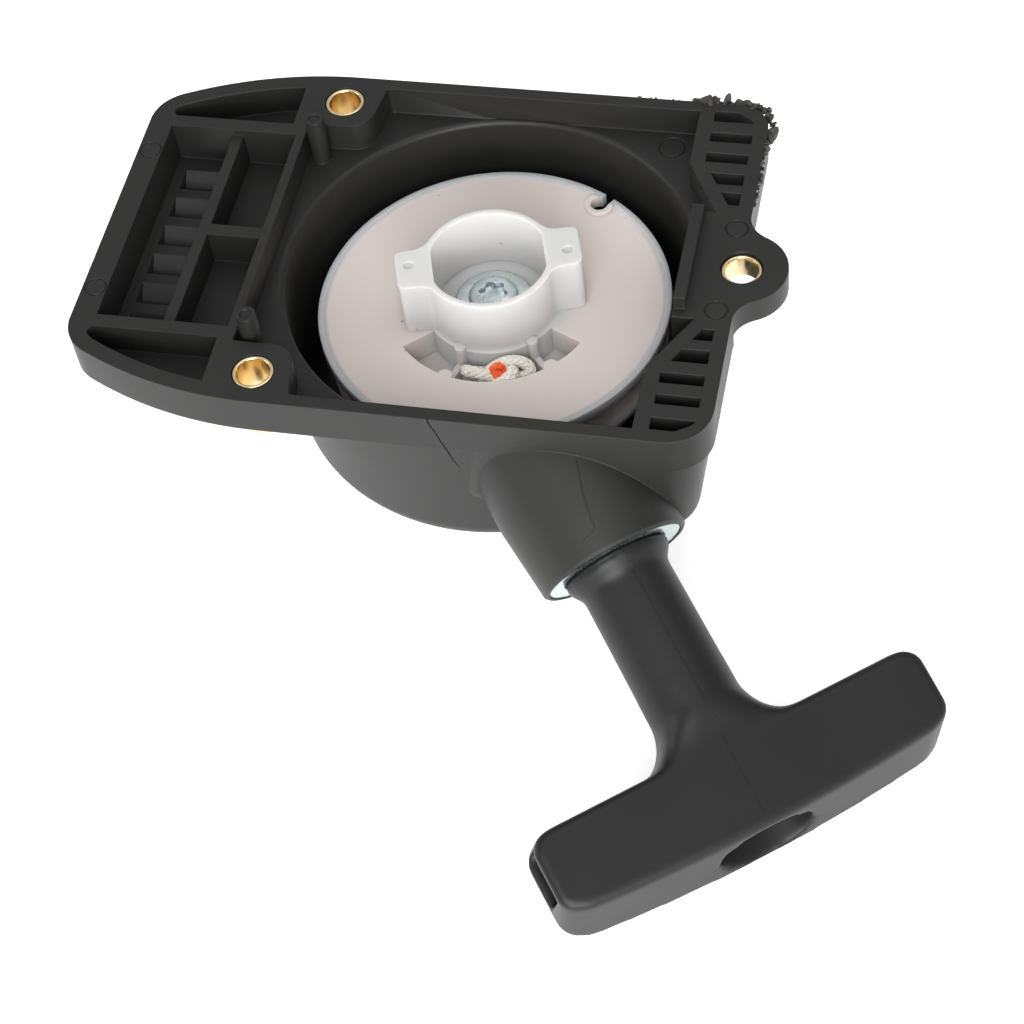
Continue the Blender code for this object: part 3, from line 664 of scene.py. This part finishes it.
# %% Put the housing together
late = group("housing_inner")
post_r, post_top = 6.0, -16.7
seat_out, seat_in, seat_high, seat_sunk = 33.6, 32.2, 2.6, 1.0
pin_x, pin_y, pin_top = -40.3, 26.1, 4.5
rod("rotor_post", post_r, post_top, bowl_floor - 1.2, 0.0, 0.0, late)
seat = [(seat_out, bowl_floor + seat_high), (seat_out, bowl_floor - seat_sunk),
        (seat_in, bowl_floor - seat_sunk), (seat_in, bowl_floor + seat_high)]
turned("cassette_seat", seat, 128, late, None, True)
for side in (1, -1):
    rod("locating_pin", 1.9, pin_top, -tray_depth + 0.8, pin_x, side * pin_y, late, 40)
rib_shape = [(-11.5, -5.0), (13.4, -5.0)] + arc(13.4 - 1.5, 1.5, 1.5, 0.0, 90.0, 6) + [(-11.5, 3.0)]
prism("guard_rib", rib_shape, right_x - 8.8, right_x - 11.15, late, sideways)

holes = group("housing_holes")
rod("screw_hole", 2.8, 5.0, -30.0, 0.0, 0.0, holes)
for side in (1, -1):
    rod("pin_dimple", 1.15, 6.0, pin_top - 0.3, pin_x, side * pin_y, holes, 32)

housing = prism("housing_shell", tray_outline(), 0.0, -tray_depth, scene.collection)
combine(housing, "UNION", outer)
combine(housing, "DIFFERENCE", hollow)
combine(housing, "UNION", late)
combine(housing, "DIFFERENCE", holes)
combine(housing, "DIFFERENCE", marks)
bake(housing, 30.0)
hand_over(housing, housing_black, "housing", "housing_black", "starter_housing")

# %% [markdown]
# ## Brass bushings
# Three turned brass sleeves take the clamping force of the screws. Each is a closed ring with a
# small lead-in at both ends of its bore.

# %% Bushings
for name, x, y, top, length in (("bushing_rear_left", bolt_x, bolt_y, -0.1, 13.8),
                                ("bushing_front_left", bolt_x, -bolt_y, -0.1, 13.8),
                                ("bushing_right", right_x, 0.0, -0.7, 5.0)):
    ring = rounded_profile([(bush_r, top), (bush_r, top - length), (bush_bore, top - length),
                            (bush_bore, top)], 0.3)
    sleeve = turned("sleeve_" + name[8:], ring, 96, scene.collection,
                    Matrix.Translation((x * MM, y * MM, 0.0)), True)
    hand_over(bake(sleeve, 50.0), brass, "housing", "brass", name)

# %% [markdown]
# ## Cord guide
# A pressed and plated ring lines the mouth of the tube, so the cord can rub on steel and not on
# plastic. Its face is flat, then a funnel narrows to the throat.

# %% Cord guide
guide = [(guide_r, -0.15), (guide_r, -1.35), (11.4, -1.35), (5.9, -10.4), (5.9, -14.0),
         (5.4, -14.5), (4.9, -14.4), (4.5, -13.6), (4.5, -9.4), (guide_bore, -1.3),
         (guide_bore, -0.15)]
guide_ring = turned("cord_guide_ring", rounded_profile(guide, 0.25), 128, scene.collection,
                    pull_frame(0.0), True)
hand_over(bake(guide_ring, 40.0), zinc, "housing", "zinc_plate", "rope_guide_bush")

# %% [markdown]
# ## The rotor
# The white rotor is one turned profile with a hub cup, a flange with a raised lip, a core for
# the cord and a lower flange. Two drive ears stand beside the hub, each with a small round pit
# on top. A kidney pocket in front of the hub holds the knot, between two low webs that end in
# a pillar at the hub and a lobe at the outer wall. A notch in the rim holds the cord while the
# spring is wound up.

# %% Rotor profile, ears and pockets
rotor_r, rotor_top, plate_top, plate_t = 35.0, -15.2, -15.9, 2.0
hub_r, hub_bore, hub_top = 13.0, 11.6, -3.25
cord_r, cord_pitch, first_turn_r = 1.6, 3.5, 24.0
core_r = first_turn_r - cord_r - 0.3
deck_up = plate_top - plate_t - 0.4 - cord_r
deck_low = deck_up - cord_pitch
flange_top = deck_low - cord_r - 0.3
flange_low = flange_top - 1.8
cup_floor = -16.8
hub_foot = [(hub_r + 1.5 * (1 - math.sin(a)), plate_top + 1.5 * (1 - math.cos(a)))
            for a in [math.radians(18.0 * i) for i in range(5, -1, -1)]]
rotor_profile = [
    (hub_r, hub_top)] + hub_foot + [
    (rotor_r - 1.9, plate_top), (rotor_r - 1.5, plate_top + 0.25), (rotor_r - 1.1, rotor_top),
    (rotor_r, rotor_top), (rotor_r, plate_top - plate_t), (core_r, plate_top - plate_t),
    (core_r, flange_top), (rotor_r - 1.0, flange_top - 0.2), (rotor_r - 1.0, flange_low),
    (8.6, flange_low), (8.6, bowl_floor + 1.7), (6.3, bowl_floor + 1.7),
    (6.3, cup_floor), (hub_bore, cup_floor), (hub_bore, hub_top)]

ears = group("rotor_ears")
pockets = group("rotor_pockets")
for half_turn in (0, 180):
    turn = Matrix.Rotation(math.radians(18.0 + half_turn), 4, "Z")
    foot = (10.9, -6.8)
    corner = bend((16.2, -4.9), (17.9, -4.9), (17.9, -3.2), 6)
    side = [foot] + bend(foot, (12.3, -4.9), (14.6, -4.9), 7) + [(16.2, -4.9)] + corner
    prism("drive_ear", side + mirrored(side), hub_top, plate_top - 0.5, ears, turn)
    spot = turn @ Vector((15.4, -1.0, 0.0)) * MM
    pit = [(0.0, hub_top + 2.0), (1.1, hub_top + 2.0), (1.0, hub_top - 0.4), (0.0, hub_top - 0.5)]
    turned("ear_pit", pit, 32, pockets, Matrix.Translation(spot))


def sector(name, r0, r1, a0, a1, top, low, count=24):
    points = arc(0, 0, r1, a0, a1, count) + arc(0, 0, r0, a1, a0, count)
    return prism(name, points, top, low, pockets)


pocket_low = deck_low + 1.5
sector("kidney", hub_r + 0.7, core_r - 1.5, -139.0, -24.0, 0.0, pocket_low, 60)
pillars = group("rotor_pillars")
for a in (-106.5, -46.0):
    c, d = math.cos(math.radians(a)), math.sin(math.radians(a))
    rod("lobe", 1.5, plate_top - 0.1, pocket_low - 0.5, 20.5 * c, 20.5 * d, pillars, 32)
    rod("pillar", 1.1, plate_top + 1.2, pocket_low - 0.5, 13.9 * c, 13.9 * d, pillars, 32)
    web = Matrix.Rotation(math.radians(a), 4, "Z")
    block("low_web", hub_r + 0.2, core_r - 1.0, -0.6, 0.6, pocket_low + 3.0, pocket_low - 0.5,
          pillars, web)
sector("cord_exit", core_r - 3.0, core_r + 0.8, -101.0, -74.0, deck_up + 1.9, deck_up - 1.9)
notch = math.radians(60.0)
bite = rotor_r - 2.9
notch_x, notch_y = bite * math.cos(notch), bite * math.sin(notch)
rod("notch_bite", 1.75, 5.0, plate_top - plate_t - 0.3, notch_x, notch_y, pockets)
sector("rim_notch", bite + 0.2, rotor_r + 3.0, 57.2, 61.0, 5.0, plate_top - plate_t - 0.3, 6)
rod("notch_lip", 2.9, rotor_top, plate_top - 0.5, notch_x, notch_y, ears)
trim_ring = [(rotor_r + 6.0, 0.0), (rotor_r + 6.0, -30.0), (rotor_r - 0.02, -30.0),
             (rotor_r - 0.02, 0.0)]
turned("rim_trim", trim_ring, 192, pockets, None, True)

rotor = turned("rotor_body", rounded_profile(rotor_profile, 0.3, 2), 192, scene.collection, None, True)
combine(rotor, "UNION", ears)
combine(rotor, "DIFFERENCE", pockets)
combine(rotor, "UNION", pillars)
bake(rotor)
soften(rotor, 0.25, 3, 50.0)
bake(rotor, 40.0)
hand_over(rotor, rotor_nylon, "rotor", "rotor_nylon", "rope_rotor")

# %% [markdown]
# ## Screw and washer
# A plated pan-head screw with a six-lobe recess holds the rotor on its post, over a plain
# washer. The recess follows a circle whose radius swings six times in one turn.

# %% Screw and washer
washer_low = plate_top - 0.5
washer_top = washer_low + 1.2
washer = [(7.7, washer_top), (7.7, washer_low), (2.8, washer_low), (2.8, washer_top)]
washer_ring = turned("plain_washer", rounded_profile(washer, 0.3), 96, scene.collection, None, True)
hand_over(bake(washer_ring, 40.0), zinc, "housing", "zinc_plate", "retaining_washer")

head_low = washer_low + 1.5
dome = [(4.9 * math.cos(a), head_low + 0.9 + 1.0 * math.sin(a))
        for a in [math.radians(9.0 * i) for i in range(11)]]
dome[-1] = (0.0, dome[-1][1])
screw_profile = [(4.75, head_low + 0.02), (2.45, head_low), (2.45, -28.4), (1.6, -29.4), (0, -29.4)]
screw = turned("lobed_screw", dome[::-1] + [(4.9, head_low + 0.15)] + screw_profile, 96, scene.collection)
drive = group("screw_drive")
star = []
for i in range(72):
    a = 2 * math.pi * i / 72
    radius = 2.55 + 0.38 * math.cos(6 * a)
    star.append((radius * math.cos(a), radius * math.sin(a)))
prism("lobed_recess", star, 5.0, head_low + 0.4, drive)
combine(screw, "DIFFERENCE", drive)
bake(screw)
soften(screw, 0.1, 2, 50.0)
hand_over(bake(screw, 40.0), zinc, "housing", "zinc_plate", "retaining_screw")

# %% [markdown]
# ## Braided cord
# A starter cord is a round braid: half of its strands wind one way, half the other, and each
# passes over and under the ones it meets. A Geometry Nodes tree copies the route once for each
# strand, winds each copy round it, and swings its distance from the middle so that the two
# families weave. A core tube closes the gaps between them.

# %% Braid as a node tree
tracer_strand = 3


def braid_tree():
    tree, given, out = new_tree("round braid", {
        "Strands": "Int", "Cord radius": "Float", "Strand radius": "Float", "Weave depth": "Float",
        "Lay length": "Float", "Step": "Float", "Yarn": "Material", "Tracer": "Material"})

    def calc(operation, *terms):
        return node(tree, "ShaderNodeMath", dict(enumerate(terms)), operation=operation).outputs[0]

    def vector(operation, a, b):
        other = "Scale" if operation == "SCALE" else 1
        return node(tree, "ShaderNodeVectorMath", {0: a, other: b}, operation=operation).outputs[0]

    def tube(line, radius, sides):
        ring = node(tree, "GeometryNodeCurvePrimitiveCircle", {"Resolution": sides, "Radius": radius},
                    mode="RADIUS")
        return node(tree, "GeometryNodeCurveToMesh", {
            "Curve": line, "Profile Curve": ring.outputs["Curve"], "Fill Caps": True}).outputs["Mesh"]

    even = node(tree, "GeometryNodeResampleCurve",
                {"Curve": given["Geometry"], "Length": given["Step"]}, mode="LENGTH")
    copies = node(tree, "GeometryNodeDuplicateElements",
                  {"Geometry": even.outputs["Curve"], "Amount": given["Strands"]}, domain="SPLINE")
    number = node(tree, "GeometryNodeStoreNamedAttribute", {
        "Name": "strand", "Geometry": copies.outputs["Geometry"],
        "Value": copies.outputs["Duplicate Index"]}, data_type="INT", domain="CURVE")
    strand = node(tree, "GeometryNodeInputNamedAttribute", {"Name": "strand"},
                  data_type="INT").outputs["Attribute"]
    along = node(tree, "GeometryNodeSplineParameter").outputs["Length"]
    hand = calc("SUBTRACT", calc("MULTIPLY", calc("MODULO", strand, 2.0), 2.0), 1.0)
    turns = calc("DIVIDE", along, given["Lay length"])
    start = calc("DIVIDE", calc("FLOOR", calc("DIVIDE", strand, 2.0)), calc("DIVIDE", given["Strands"], 2.0))
    angle = calc("MULTIPLY", calc("ADD", calc("MULTIPLY", turns, hand), start), 2 * math.pi)
    wave = calc("COSINE", calc("MULTIPLY", calc("MULTIPLY", turns, given["Strands"]), math.pi))
    lift = calc("MULTIPLY", calc("MULTIPLY", wave, hand), given["Weave depth"])
    radius = calc("ADD", given["Cord radius"], lift)
    normal = node(tree, "GeometryNodeInputNormal").outputs[0]
    tangent = node(tree, "GeometryNodeInputTangent").outputs[0]
    side = vector("CROSS_PRODUCT", tangent, normal)
    shift = vector("ADD", vector("SCALE", normal, calc("MULTIPLY", radius, calc("COSINE", angle))),
                   vector("SCALE", side, calc("MULTIPLY", radius, calc("SINE", angle))))
    wound = node(tree, "GeometryNodeSetPosition",
                 {"Geometry": number.outputs["Geometry"], "Offset": shift})
    both = node(tree, "GeometryNodeJoinGeometry",
                {"Geometry": tube(given["Geometry"], given["Cord radius"], 8)})
    feed(both, {"Geometry": tube(wound.outputs["Geometry"], given["Strand radius"], 5)})
    real = node(tree, "GeometryNodeRealizeInstances", {"Geometry": both.outputs["Geometry"]})
    yarn = node(tree, "GeometryNodeSetMaterial",
                {"Geometry": real.outputs["Geometry"], "Material": given["Yarn"]})
    chosen = node(tree, "FunctionNodeCompare", {"A": strand, "B": tracer_strand},
                  data_type="INT", operation="EQUAL")
    tracer = node(tree, "GeometryNodeSetMaterial", {
        "Geometry": yarn.outputs["Geometry"], "Material": given["Tracer"],
        "Selection": chosen.outputs["Result"]})
    feed(out, {"Geometry": tracer.outputs["Geometry"]})
    return tree


def braid(name, route, strands, step, lay, closed=False, radius=cord_r):
    """The route, in millimetres, as a braided cord of that radius."""
    holder = line_through(name, [spot * MM for spot in route], closed)
    thin = radius * 1.55 / strands * 2
    run_tree(holder, weave_tree, {
        "Strands": strands, "Cord radius": (radius - thin * 0.9) * MM, "Strand radius": thin * 0.62 * MM,
        "Weave depth": thin * 0.28 * MM, "Lay length": lay * MM, "Step": step * MM,
        "Yarn": rope_white, "Tracer": rope_red})
    cord = take_result(name, holder)
    mesh = cord.data
    red = [slot == rope_red for slot in mesh.materials]
    tinted = [int(red[face.material_index]) for face in mesh.polygons]
    mesh.materials.clear()
    for each in (rope_white, rope_red):
        mesh.materials.append(each)
    mesh.polygons.foreach_set("material_index", tinted)
    mesh.shade_smooth()
    return cord


weave_tree = braid_tree()
print("braid tree has", len(weave_tree.nodes), "nodes")

# %% [markdown]
# ## Where the cord runs
# It starts at a knot in the rotor, goes out through the core and winds on in two decks and
# three layers. Every turn keeps to its own place and crosses to the next in a short stretch,
# a little earlier each time, so no two crossings meet. Then it leaves in a straight line for
# the guide and goes up the handle.

# %% Route of the wound cord
knot_angle = -76.4
outer_turn_r = first_turn_r + 2.0 * cord_pitch
span = math.hypot(throat.x, throat.y)
leave_angle = math.degrees(math.atan2(throat.y, throat.x) - math.acos(outer_turn_r / span))
sweep = (leave_angle - knot_angle) % 360.0 + 4 * 360.0
places = [(0, 0), (0, 1), (1, 1), (1, 0), (2, 0), (2, 1)]
crossing = 50.0


def ease(u):
    u = min(1.0, max(0.0, u))
    return u * u * (3 - 2 * u)


def wound_point(turned_by):
    layer, deck = (float(v) for v in places[0])
    for n in range(1, len(places)):
        share = ease((turned_by - (360.0 - crossing) * n) / (crossing - 4.0))
        layer += (places[n][0] - places[n - 1][0]) * share
        deck += (places[n][1] - places[n - 1][1]) * share
    a = math.radians(knot_angle + turned_by)
    r = first_turn_r + cord_pitch * layer
    return Vector((r * math.cos(a), r * math.sin(a), deck_up - cord_pitch * deck))


wound = []
for i in range(6):
    a = math.radians(knot_angle - 16.0 * (1 - i / 6))
    r = core_r - 0.2 + (first_turn_r - core_r + 0.2) * ease(i / 6)
    wound.append(Vector((r * math.cos(a), r * math.sin(a), deck_up)))
turn_points = int(40 * sweep / 360.0)
wound += [wound_point(sweep * i / turn_points) for i in range(turn_points + 1)]
wound_cord = braid("wound_cord", wound, 8, 0.75, 9.0)
hand_over(wound_cord, None, "rotor", "cord", "rope_on_rotor")
print("wound length", round(sum((b - a).length for a, b in zip(wound, wound[1:])) * MM, 3), "m")

# %% [markdown]
# The stretch between guide and handle changes its length when the handle is pulled. Here it is
# made once, at its resting length, and given to no body.

# %% Lead and knots
near = 39.0
lead = [wound[-1] + lead_line * 0.5]
lead += [lead[0].lerp(throat - lead_line * 4.0, t / 8) for t in range(1, 9)]
for i in range(1, 8):
    u = i / 8
    lead.append((throat - lead_line * 4.0) * (1 - u) ** 2 + throat * 2 * u * (1 - u)
                + (throat + pull * 4.0) * u * u)
lead += [(throat + pull * 4.0).lerp(mouth + pull * (near + 1.9), t / 24) for t in range(25)]
cord_lead = braid("cord_lead", lead, 8, 0.6, 9.0)
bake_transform(cord_lead)
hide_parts("rope_lead")
print("lead", round(sum((b - a).length for a, b in zip(lead, lead[1:])), 1), "mm")


def knot_route(centre, x_dir, y_dir, scale_x, scale_y, height):
    """A closed three-lobed knot."""
    z_dir = x_dir.cross(y_dir)
    route = []
    for i in range(120):
        t = 2 * math.pi * i / 120
        u = (math.sin(t) + 2 * math.sin(2 * t)) * scale_x
        v = (math.cos(t) - 2 * math.cos(2 * t)) * scale_y
        route.append(centre + x_dir * u + y_dir * v - z_dir * math.sin(3 * t) * height)
    return route


ka = math.radians(knot_angle)
radial = Vector((math.cos(ka), math.sin(ka), 0.0))
tangent = Vector((-math.sin(ka), math.cos(ka), 0.0))
inner_route = knot_route(radial * 16.9 + Vector((0, 0, plate_top - 2.0)), tangent, -radial,
                         2.25, 0.85, 1.35)
inner_knot = braid("inner_knot", inner_route, 12, 0.25, 7.0, True, 1.25)
fleck_at = (radial * 17.2 + Vector((0, 0, plate_top - 1.0))) * MM
fleck_r = 1.75
for face in inner_knot.data.polygons:
    face.material_index = int((face.center - fleck_at).length < fleck_r * MM)
hand_over(inner_knot, None, "rotor", "cord", "rotor_knot")
outer_knot = braid("outer_knot", knot_route(mouth + pull * (near + 7.4), across, pull, 1.4, 1.4, 1.5),
                   16, 0.25, 7.0, True, 1.1)
hand_over(outer_knot, None, "pulled_cord", "cord", "grip_knot")

# %% [markdown]
# ## The handle
# The handle is a T: a round stem that flares into a hollow crossbar with rounded edges and a
# gently bulging outer face. Joined solids would leave creases, so they are remeshed into one
# skin and relaxed, which gives the soft edges of a real moulding. The parting line is added
# after that, because a remesh would swallow it.

# %% Handle
bar_half, bar_depth, bar_thick, bar_swell, bar_fillet, stem_r = 40.2, 21.5, 15.0, 2.4, 8.0, 8.75
far = near + bar_depth
grip_adds = group("grip_solids")
grip_cuts = group("grip_hollows")
flat = Matrix((across, pull, -upward)).transposed().to_4x4()
flat.translation = mouth * MM
end_r = 4.5
half_side = arc(bar_half - end_r, near + end_r, end_r, -90.0, 0.0, 12)
half_side += arc(bar_half - end_r, far - bar_swell - end_r, end_r, 0.0, 70.0, 10)
outer_face = [0.88 - 1.76 * i / 24 for i in range(25)]
bar_side = half_side + [(bar_half * u, far - bar_swell * u * u) for u in outer_face]
bar_side += [(-x, y) for x, y in reversed(half_side)]
bar = prism("crossbar", bar_side, bar_thick / 2, -bar_thick / 2, grip_adds, flat)
bake(bar)
face_lean = 4.4
for vertex in bar.data.vertices:
    spot = flat.inverted() @ vertex.co
    rise = 0.5 - spot.z / (bar_thick * MM)
    spot.y -= face_lean * rise * max(0.0, spot.y - near * MM) / bar_depth
    vertex.co = flat @ spot
soften(bar, 1.3, 5, 50.0)


def flare(name, sections, sides, home, turn):
    """A skin through sections of (distance, half width, half height, squareness)."""
    rings = []
    for distance, wide, high, square in sections:
        for k in range(sides):
            c = math.cos(2 * math.pi * k / sides)
            d = math.sin(2 * math.pi * k / sides)
            rings.append((wide * math.copysign(abs(c) ** (2 / square), c) * MM,
                          high * math.copysign(abs(d) ** (2 / square), d) * MM, distance * MM))
    faces = [list(range(sides))[::-1], [(len(sections) - 1) * sides + k for k in range(sides)]]
    for j in range(len(sections) - 1):
        for k in range(sides):
            n = (k + 1) % sides
            faces.append((j * sides + k, j * sides + n, (j + 1) * sides + n, (j + 1) * sides + k))
    mesh = bpy.data.meshes.new(name)
    mesh.from_pydata(rings, [], faces)
    mesh.transform(turn)
    return place(name, mesh, home)


neck = [(near - bar_fillet - 6.0, stem_r + 0.25, stem_r + 0.25, 2.0)]
for i in range(24):
    u = i / 23
    fall_in = u * u * (3 - 2 * u)
    wide = stem_r + 0.3 + bar_fillet * (1 - math.sqrt(1 - u * u))
    high = stem_r + 0.3 - (stem_r + 0.3 - 7.45) * fall_in
    neck.append((near - bar_fillet * (1 - u), wide, high, 2.0 + 2.4 * u))
neck.append((near + 4.0, stem_r + bar_fillet + 0.3, 7.4, 4.4))
flare("neck", neck, 72, grip_adds, pull_frame(0.0))

tunnel_near, tunnel_far, tunnel_half = near + 1.8, near + 12.0, 5.0
block("tunnel", -bar_half - 2.0, bar_half + 2.0, tunnel_near, tunnel_far, -tunnel_half, tunnel_half,
      grip_cuts, flat)
way_r = 2.1
cord_way = [(0, near + 6.0), (way_r, near + 6.0), (way_r, near - 12.0), (0, near - 12.0)]
turned("cord_way", cord_way, 32, grip_cuts, pull_frame(0.0))
window_half, window_high, window_drop = 9.6, 5.7, 0.5
window = []
for i in range(60):
    a = 2 * math.pi * i / 60
    window.append((window_half * math.cos(a), window_high * math.sin(a) - window_drop))
prism("finger_window", window, far + 3.0, near + 10.0, grip_cuts, pull_frame(0.0))
stem_end = near - bar_fillet - 1.0
collar_r, nose_r, nose_low = 10.6, 9.9, -6.6
grip_profile = [(stem_r + 0.25, stem_end), (stem_r, 4.0), (collar_r, 1.3), (collar_r, 0.2),
                (nose_r, 0.2), (nose_r, -1.0), (6.0, nose_low), (way_r, nose_low), (way_r, stem_end)]
grip = turned("pull_handle", grip_profile, 96, scene.collection, pull_frame(0.0), True)
combine(grip, "UNION", grip_adds)
combine(grip, "DIFFERENCE", grip_cuts)
skin = grip.modifiers.new("one skin", "REMESH")
skin.mode = "VOXEL"
skin.voxel_size = 0.5 * MM
relax = grip.modifiers.new("relax", "SMOOTH")
relax.factor = 0.5
relax.iterations = 12
bake(grip, 180.0)
hand_over(grip, grip_black, "grip", "grip_black", "pull_grip")

# %% [markdown]
# ## Raised seams
# Mould halves leave a hair of plastic where they meet. Each seam is a thin wire laid on the
# surface: points are dropped onto the finished mesh along a direction, so the wire follows
# whatever shape lies below.

# %% Parting line and tube seam
def seam(name, target, starts, direction, radius, material, body, slot):
    """A thin wire over the first surface that each start meets along the direction."""
    skin_mesh = target.data
    tree = BVHTree.FromPolygons([v.co for v in skin_mesh.vertices],
                                [p.vertices for p in skin_mesh.polygons])
    hits = [tree.ray_cast(start * MM, direction)[0] for start in starts]
    line = line_through(name, [spot for spot in hits if spot])
    line.data.bevel_depth = radius * MM
    line.data.bevel_resolution = 1
    line.data.use_fill_caps = True
    wire = take_result(name, line)
    wire.data.shade_smooth()
    return hand_over(wire, material, body, slot)


stem_line = [mouth + pull * (2.0 + 0.9 * i) + upward * 20.0 for i in range(60)]
seam("handle_seam", grip, stem_line, -upward, 0.11, grip_black, "grip", "grip_black")
tube_path = [(4.6, -17.0), (4.0, -15.0), (3.0, -11.5), (2.3, -8.0), (2.0, -4.8), (1.4, -4.0), (-0.6, -3.6)]
tube_line = [mouth + across * (a - 6.0) + pull * s + upward * 24.0 for a, s in tube_path]
seam("tube_seam", housing, tube_line, -upward, 0.13, housing_black, "housing", "housing_black")

# %% [markdown]
# ## Ragged flash
# The rear right corner was broken from its runner and keeps a ragged fringe. Small lumps are
# scattered along the edge by a Geometry Nodes tree with a fixed seed, each one turned and
# scaled at random. They overlap the edge and aren't welded to it.

# %% Flash along the corner
def flash_tree():
    tree, given, out = new_tree("ragged flash", {
        "Spacing": "Float", "Smallest": "Float", "Largest": "Float", "Scatter": "Float",
        "Seed": "Int", "Finish": "Material"})

    def chance(feeds, kind="FLOAT_VECTOR"):
        return node(tree, "FunctionNodeRandomValue", feeds, data_type=kind)

    def scaled(vector, factor):
        return node(tree, "ShaderNodeVectorMath", {0: vector, "Scale": factor},
                    operation="SCALE").outputs[0]

    points = node(tree, "GeometryNodeCurveToPoints",
                  {"Curve": given["Geometry"], "Length": given["Spacing"]}, mode="LENGTH")
    jitter = chance({"Min": (-1.0, -1.0, -1.0), "Max": (1.0, 1.0, 1.0), "Seed": given["Seed"]})
    move = node(tree, "GeometryNodeSetPosition", {
        "Geometry": points.outputs["Points"], "Offset": scaled(jitter.outputs[0], given["Scatter"])})
    lump = node(tree, "GeometryNodeMeshIcoSphere", {"Radius": 1.0, "Subdivisions": 2})
    whole_turn = 6.28
    turn = chance({"Max": (whole_turn, whole_turn, whole_turn)})
    size = chance({"Min": given["Smallest"], "Max": given["Largest"]}, "FLOAT")
    stretch = chance({"Min": (0.35, 0.35, 0.25), "Max": (1.5, 1.2, 0.6)})
    copies = node(tree, "GeometryNodeInstanceOnPoints", {
        "Points": move.outputs["Geometry"], "Instance": lump.outputs["Mesh"],
        "Rotation": turn.outputs[0], "Scale": scaled(stretch.outputs[0], size.outputs[1])})
    real = node(tree, "GeometryNodeRealizeInstances", {"Geometry": copies.outputs["Instances"]})
    noise = node(tree, "ShaderNodeTexNoise", {"Scale": 1500.0})
    centred = node(tree, "ShaderNodeVectorMath", {0: noise.outputs["Color"], 1: (0.5, 0.5, 0.5)},
                   operation="SUBTRACT")
    crumple = node(tree, "GeometryNodeSetPosition", {
        "Geometry": real.outputs["Geometry"], "Offset": scaled(centred.outputs[0], 0.0006)})
    finish = node(tree, "GeometryNodeSetMaterial",
                  {"Geometry": crumple.outputs["Geometry"], "Material": given["Finish"]})
    feed(out, {"Geometry": finish.outputs["Geometry"]})
    return tree


ragged_tree = flash_tree()


def flash(name, path, spacing, smallest, largest, scatter, seed):
    """A ragged fringe along a path in millimetres."""
    edge = line_through(name, [[v * MM for v in spot] for spot in path])
    run_tree(edge, ragged_tree, {
        "Spacing": spacing * MM, "Smallest": smallest * MM, "Largest": largest * MM,
        "Scatter": scatter * MM, "Seed": seed, "Finish": burr_black})
    return hand_over(take_result(name, edge), burr_black, "housing", "housing_black")


flash("rear_burr", [(20.0, 43.2, -0.5), (34.0, 43.4, -0.6)], 1.1, 0.3, 0.6, 0.25, 4)
corner_path = [(34.0, 43.6, -0.9), (40.0, 44.0, -0.8), (45.0, 44.0, -0.8), (48.4, 42.6, -1.0),
               (49.6, 39.6, -1.2), (49.8, 36.0, -1.4)]
flash("corner_flash", corner_path, 0.75, 0.8, 1.8, 0.4, 7)
flash("side_flash", [(49.3, 34.0, -0.8), (49.4, 26.0, -0.8), (49.3, 17.0, -0.8)], 0.8, 0.35, 0.85, 0.3, 9)

# %% [markdown]
# ## Carried-over pieces
# The spring cassette, its cover and the spring strip sit deep in the bowl under the rotor.
# Their shapes are right as they are, so they only get finer materials.

# %% Materials for hidden pieces
for name, finish in (("spring_cassette", cassette_grey), ("spring_cover", cassette_grey),
                     ("rewind_spring", spring_blue)):
    for holder in frame["nodes"][name].material_slots:
        holder.material = finish
print("hidden pieces dressed")

# %% [markdown]
# ## Floor and light
# A plain pale floor just under the lowest point, an even white world and four large soft
# lamps: one overhead for the flat faces, one low at the front for the side walls, a higher one
# behind it that fills the shadows, and one from the left to shape the bowl.

# %% Floor, world and lamps
floor_gap = 0.0005
floor_mesh = bpy.data.meshes.new("floor")
reach = 3.0
floor_z = cad_box[0][2] - floor_gap
floor_mesh.from_pydata([(-reach, -reach, floor_z), (reach, -reach, floor_z), (reach, reach, floor_z),
                        (-reach, reach, floor_z)], [], [(0, 1, 2, 3)])
floor = place("floor", floor_mesh, scene.collection)
paper = bpy.data.materials.new("white_paper")
paper.use_nodes = True
feed(paper.node_tree.nodes["Principled BSDF"],
     {"Base Color": (0.93, 0.93, 0.93, 1.0), "Roughness": 0.9,
      "Emission Color": (1.0, 1.0, 1.0, 1.0), "Emission Strength": 0.45})
floor.data.materials.append(paper)

world = bpy.data.worlds.new("studio")
world.use_nodes = True
feed(world.node_tree.nodes["Background"], {"Color": (1.0, 1.0, 1.0, 1.0), "Strength": 0.62})
scene.world = world


def lamp(name, place_at, aim, size, power):
    data = bpy.data.lights.new(name, "AREA")
    data.size = size
    data.energy = power
    obj = bpy.data.objects.new(name, data)
    scene.collection.objects.link(obj)
    obj.location = place_at
    obj.rotation_euler = (Vector(place_at) - Vector(aim)).to_track_quat("Z", "Y").to_euler()
    return obj


lamp("overhead", (0.1, 0.1, 0.9), (0.0, 0.0, 0.0), 0.7, 2.0)
lamp("front", (0.3, -0.9, 0.12), (0.0, 0.0, -0.02), 0.6, 13.0)
lamp("fill", (0.1, -0.8, 0.55), (0.0, 0.0, -0.02), 0.6, 8.0)
lamp("left", (-0.8, -0.2, 0.35), (0.0, 0.0, 0.0), 0.4, 2.0)
print("floor at", round(floor_z / MM, 1), "mm")

# %% [markdown]
# ## Clearing up
# The workshop of cutters goes.

# %% Clear the workshop and finish
for child in list(workshop.children):
    for obj in list(child.objects):
        bpy.data.objects.remove(obj, do_unlink=True)
    bpy.data.collections.remove(child)
bpy.data.collections.remove(workshop)
bpy.context.view_layer.update()
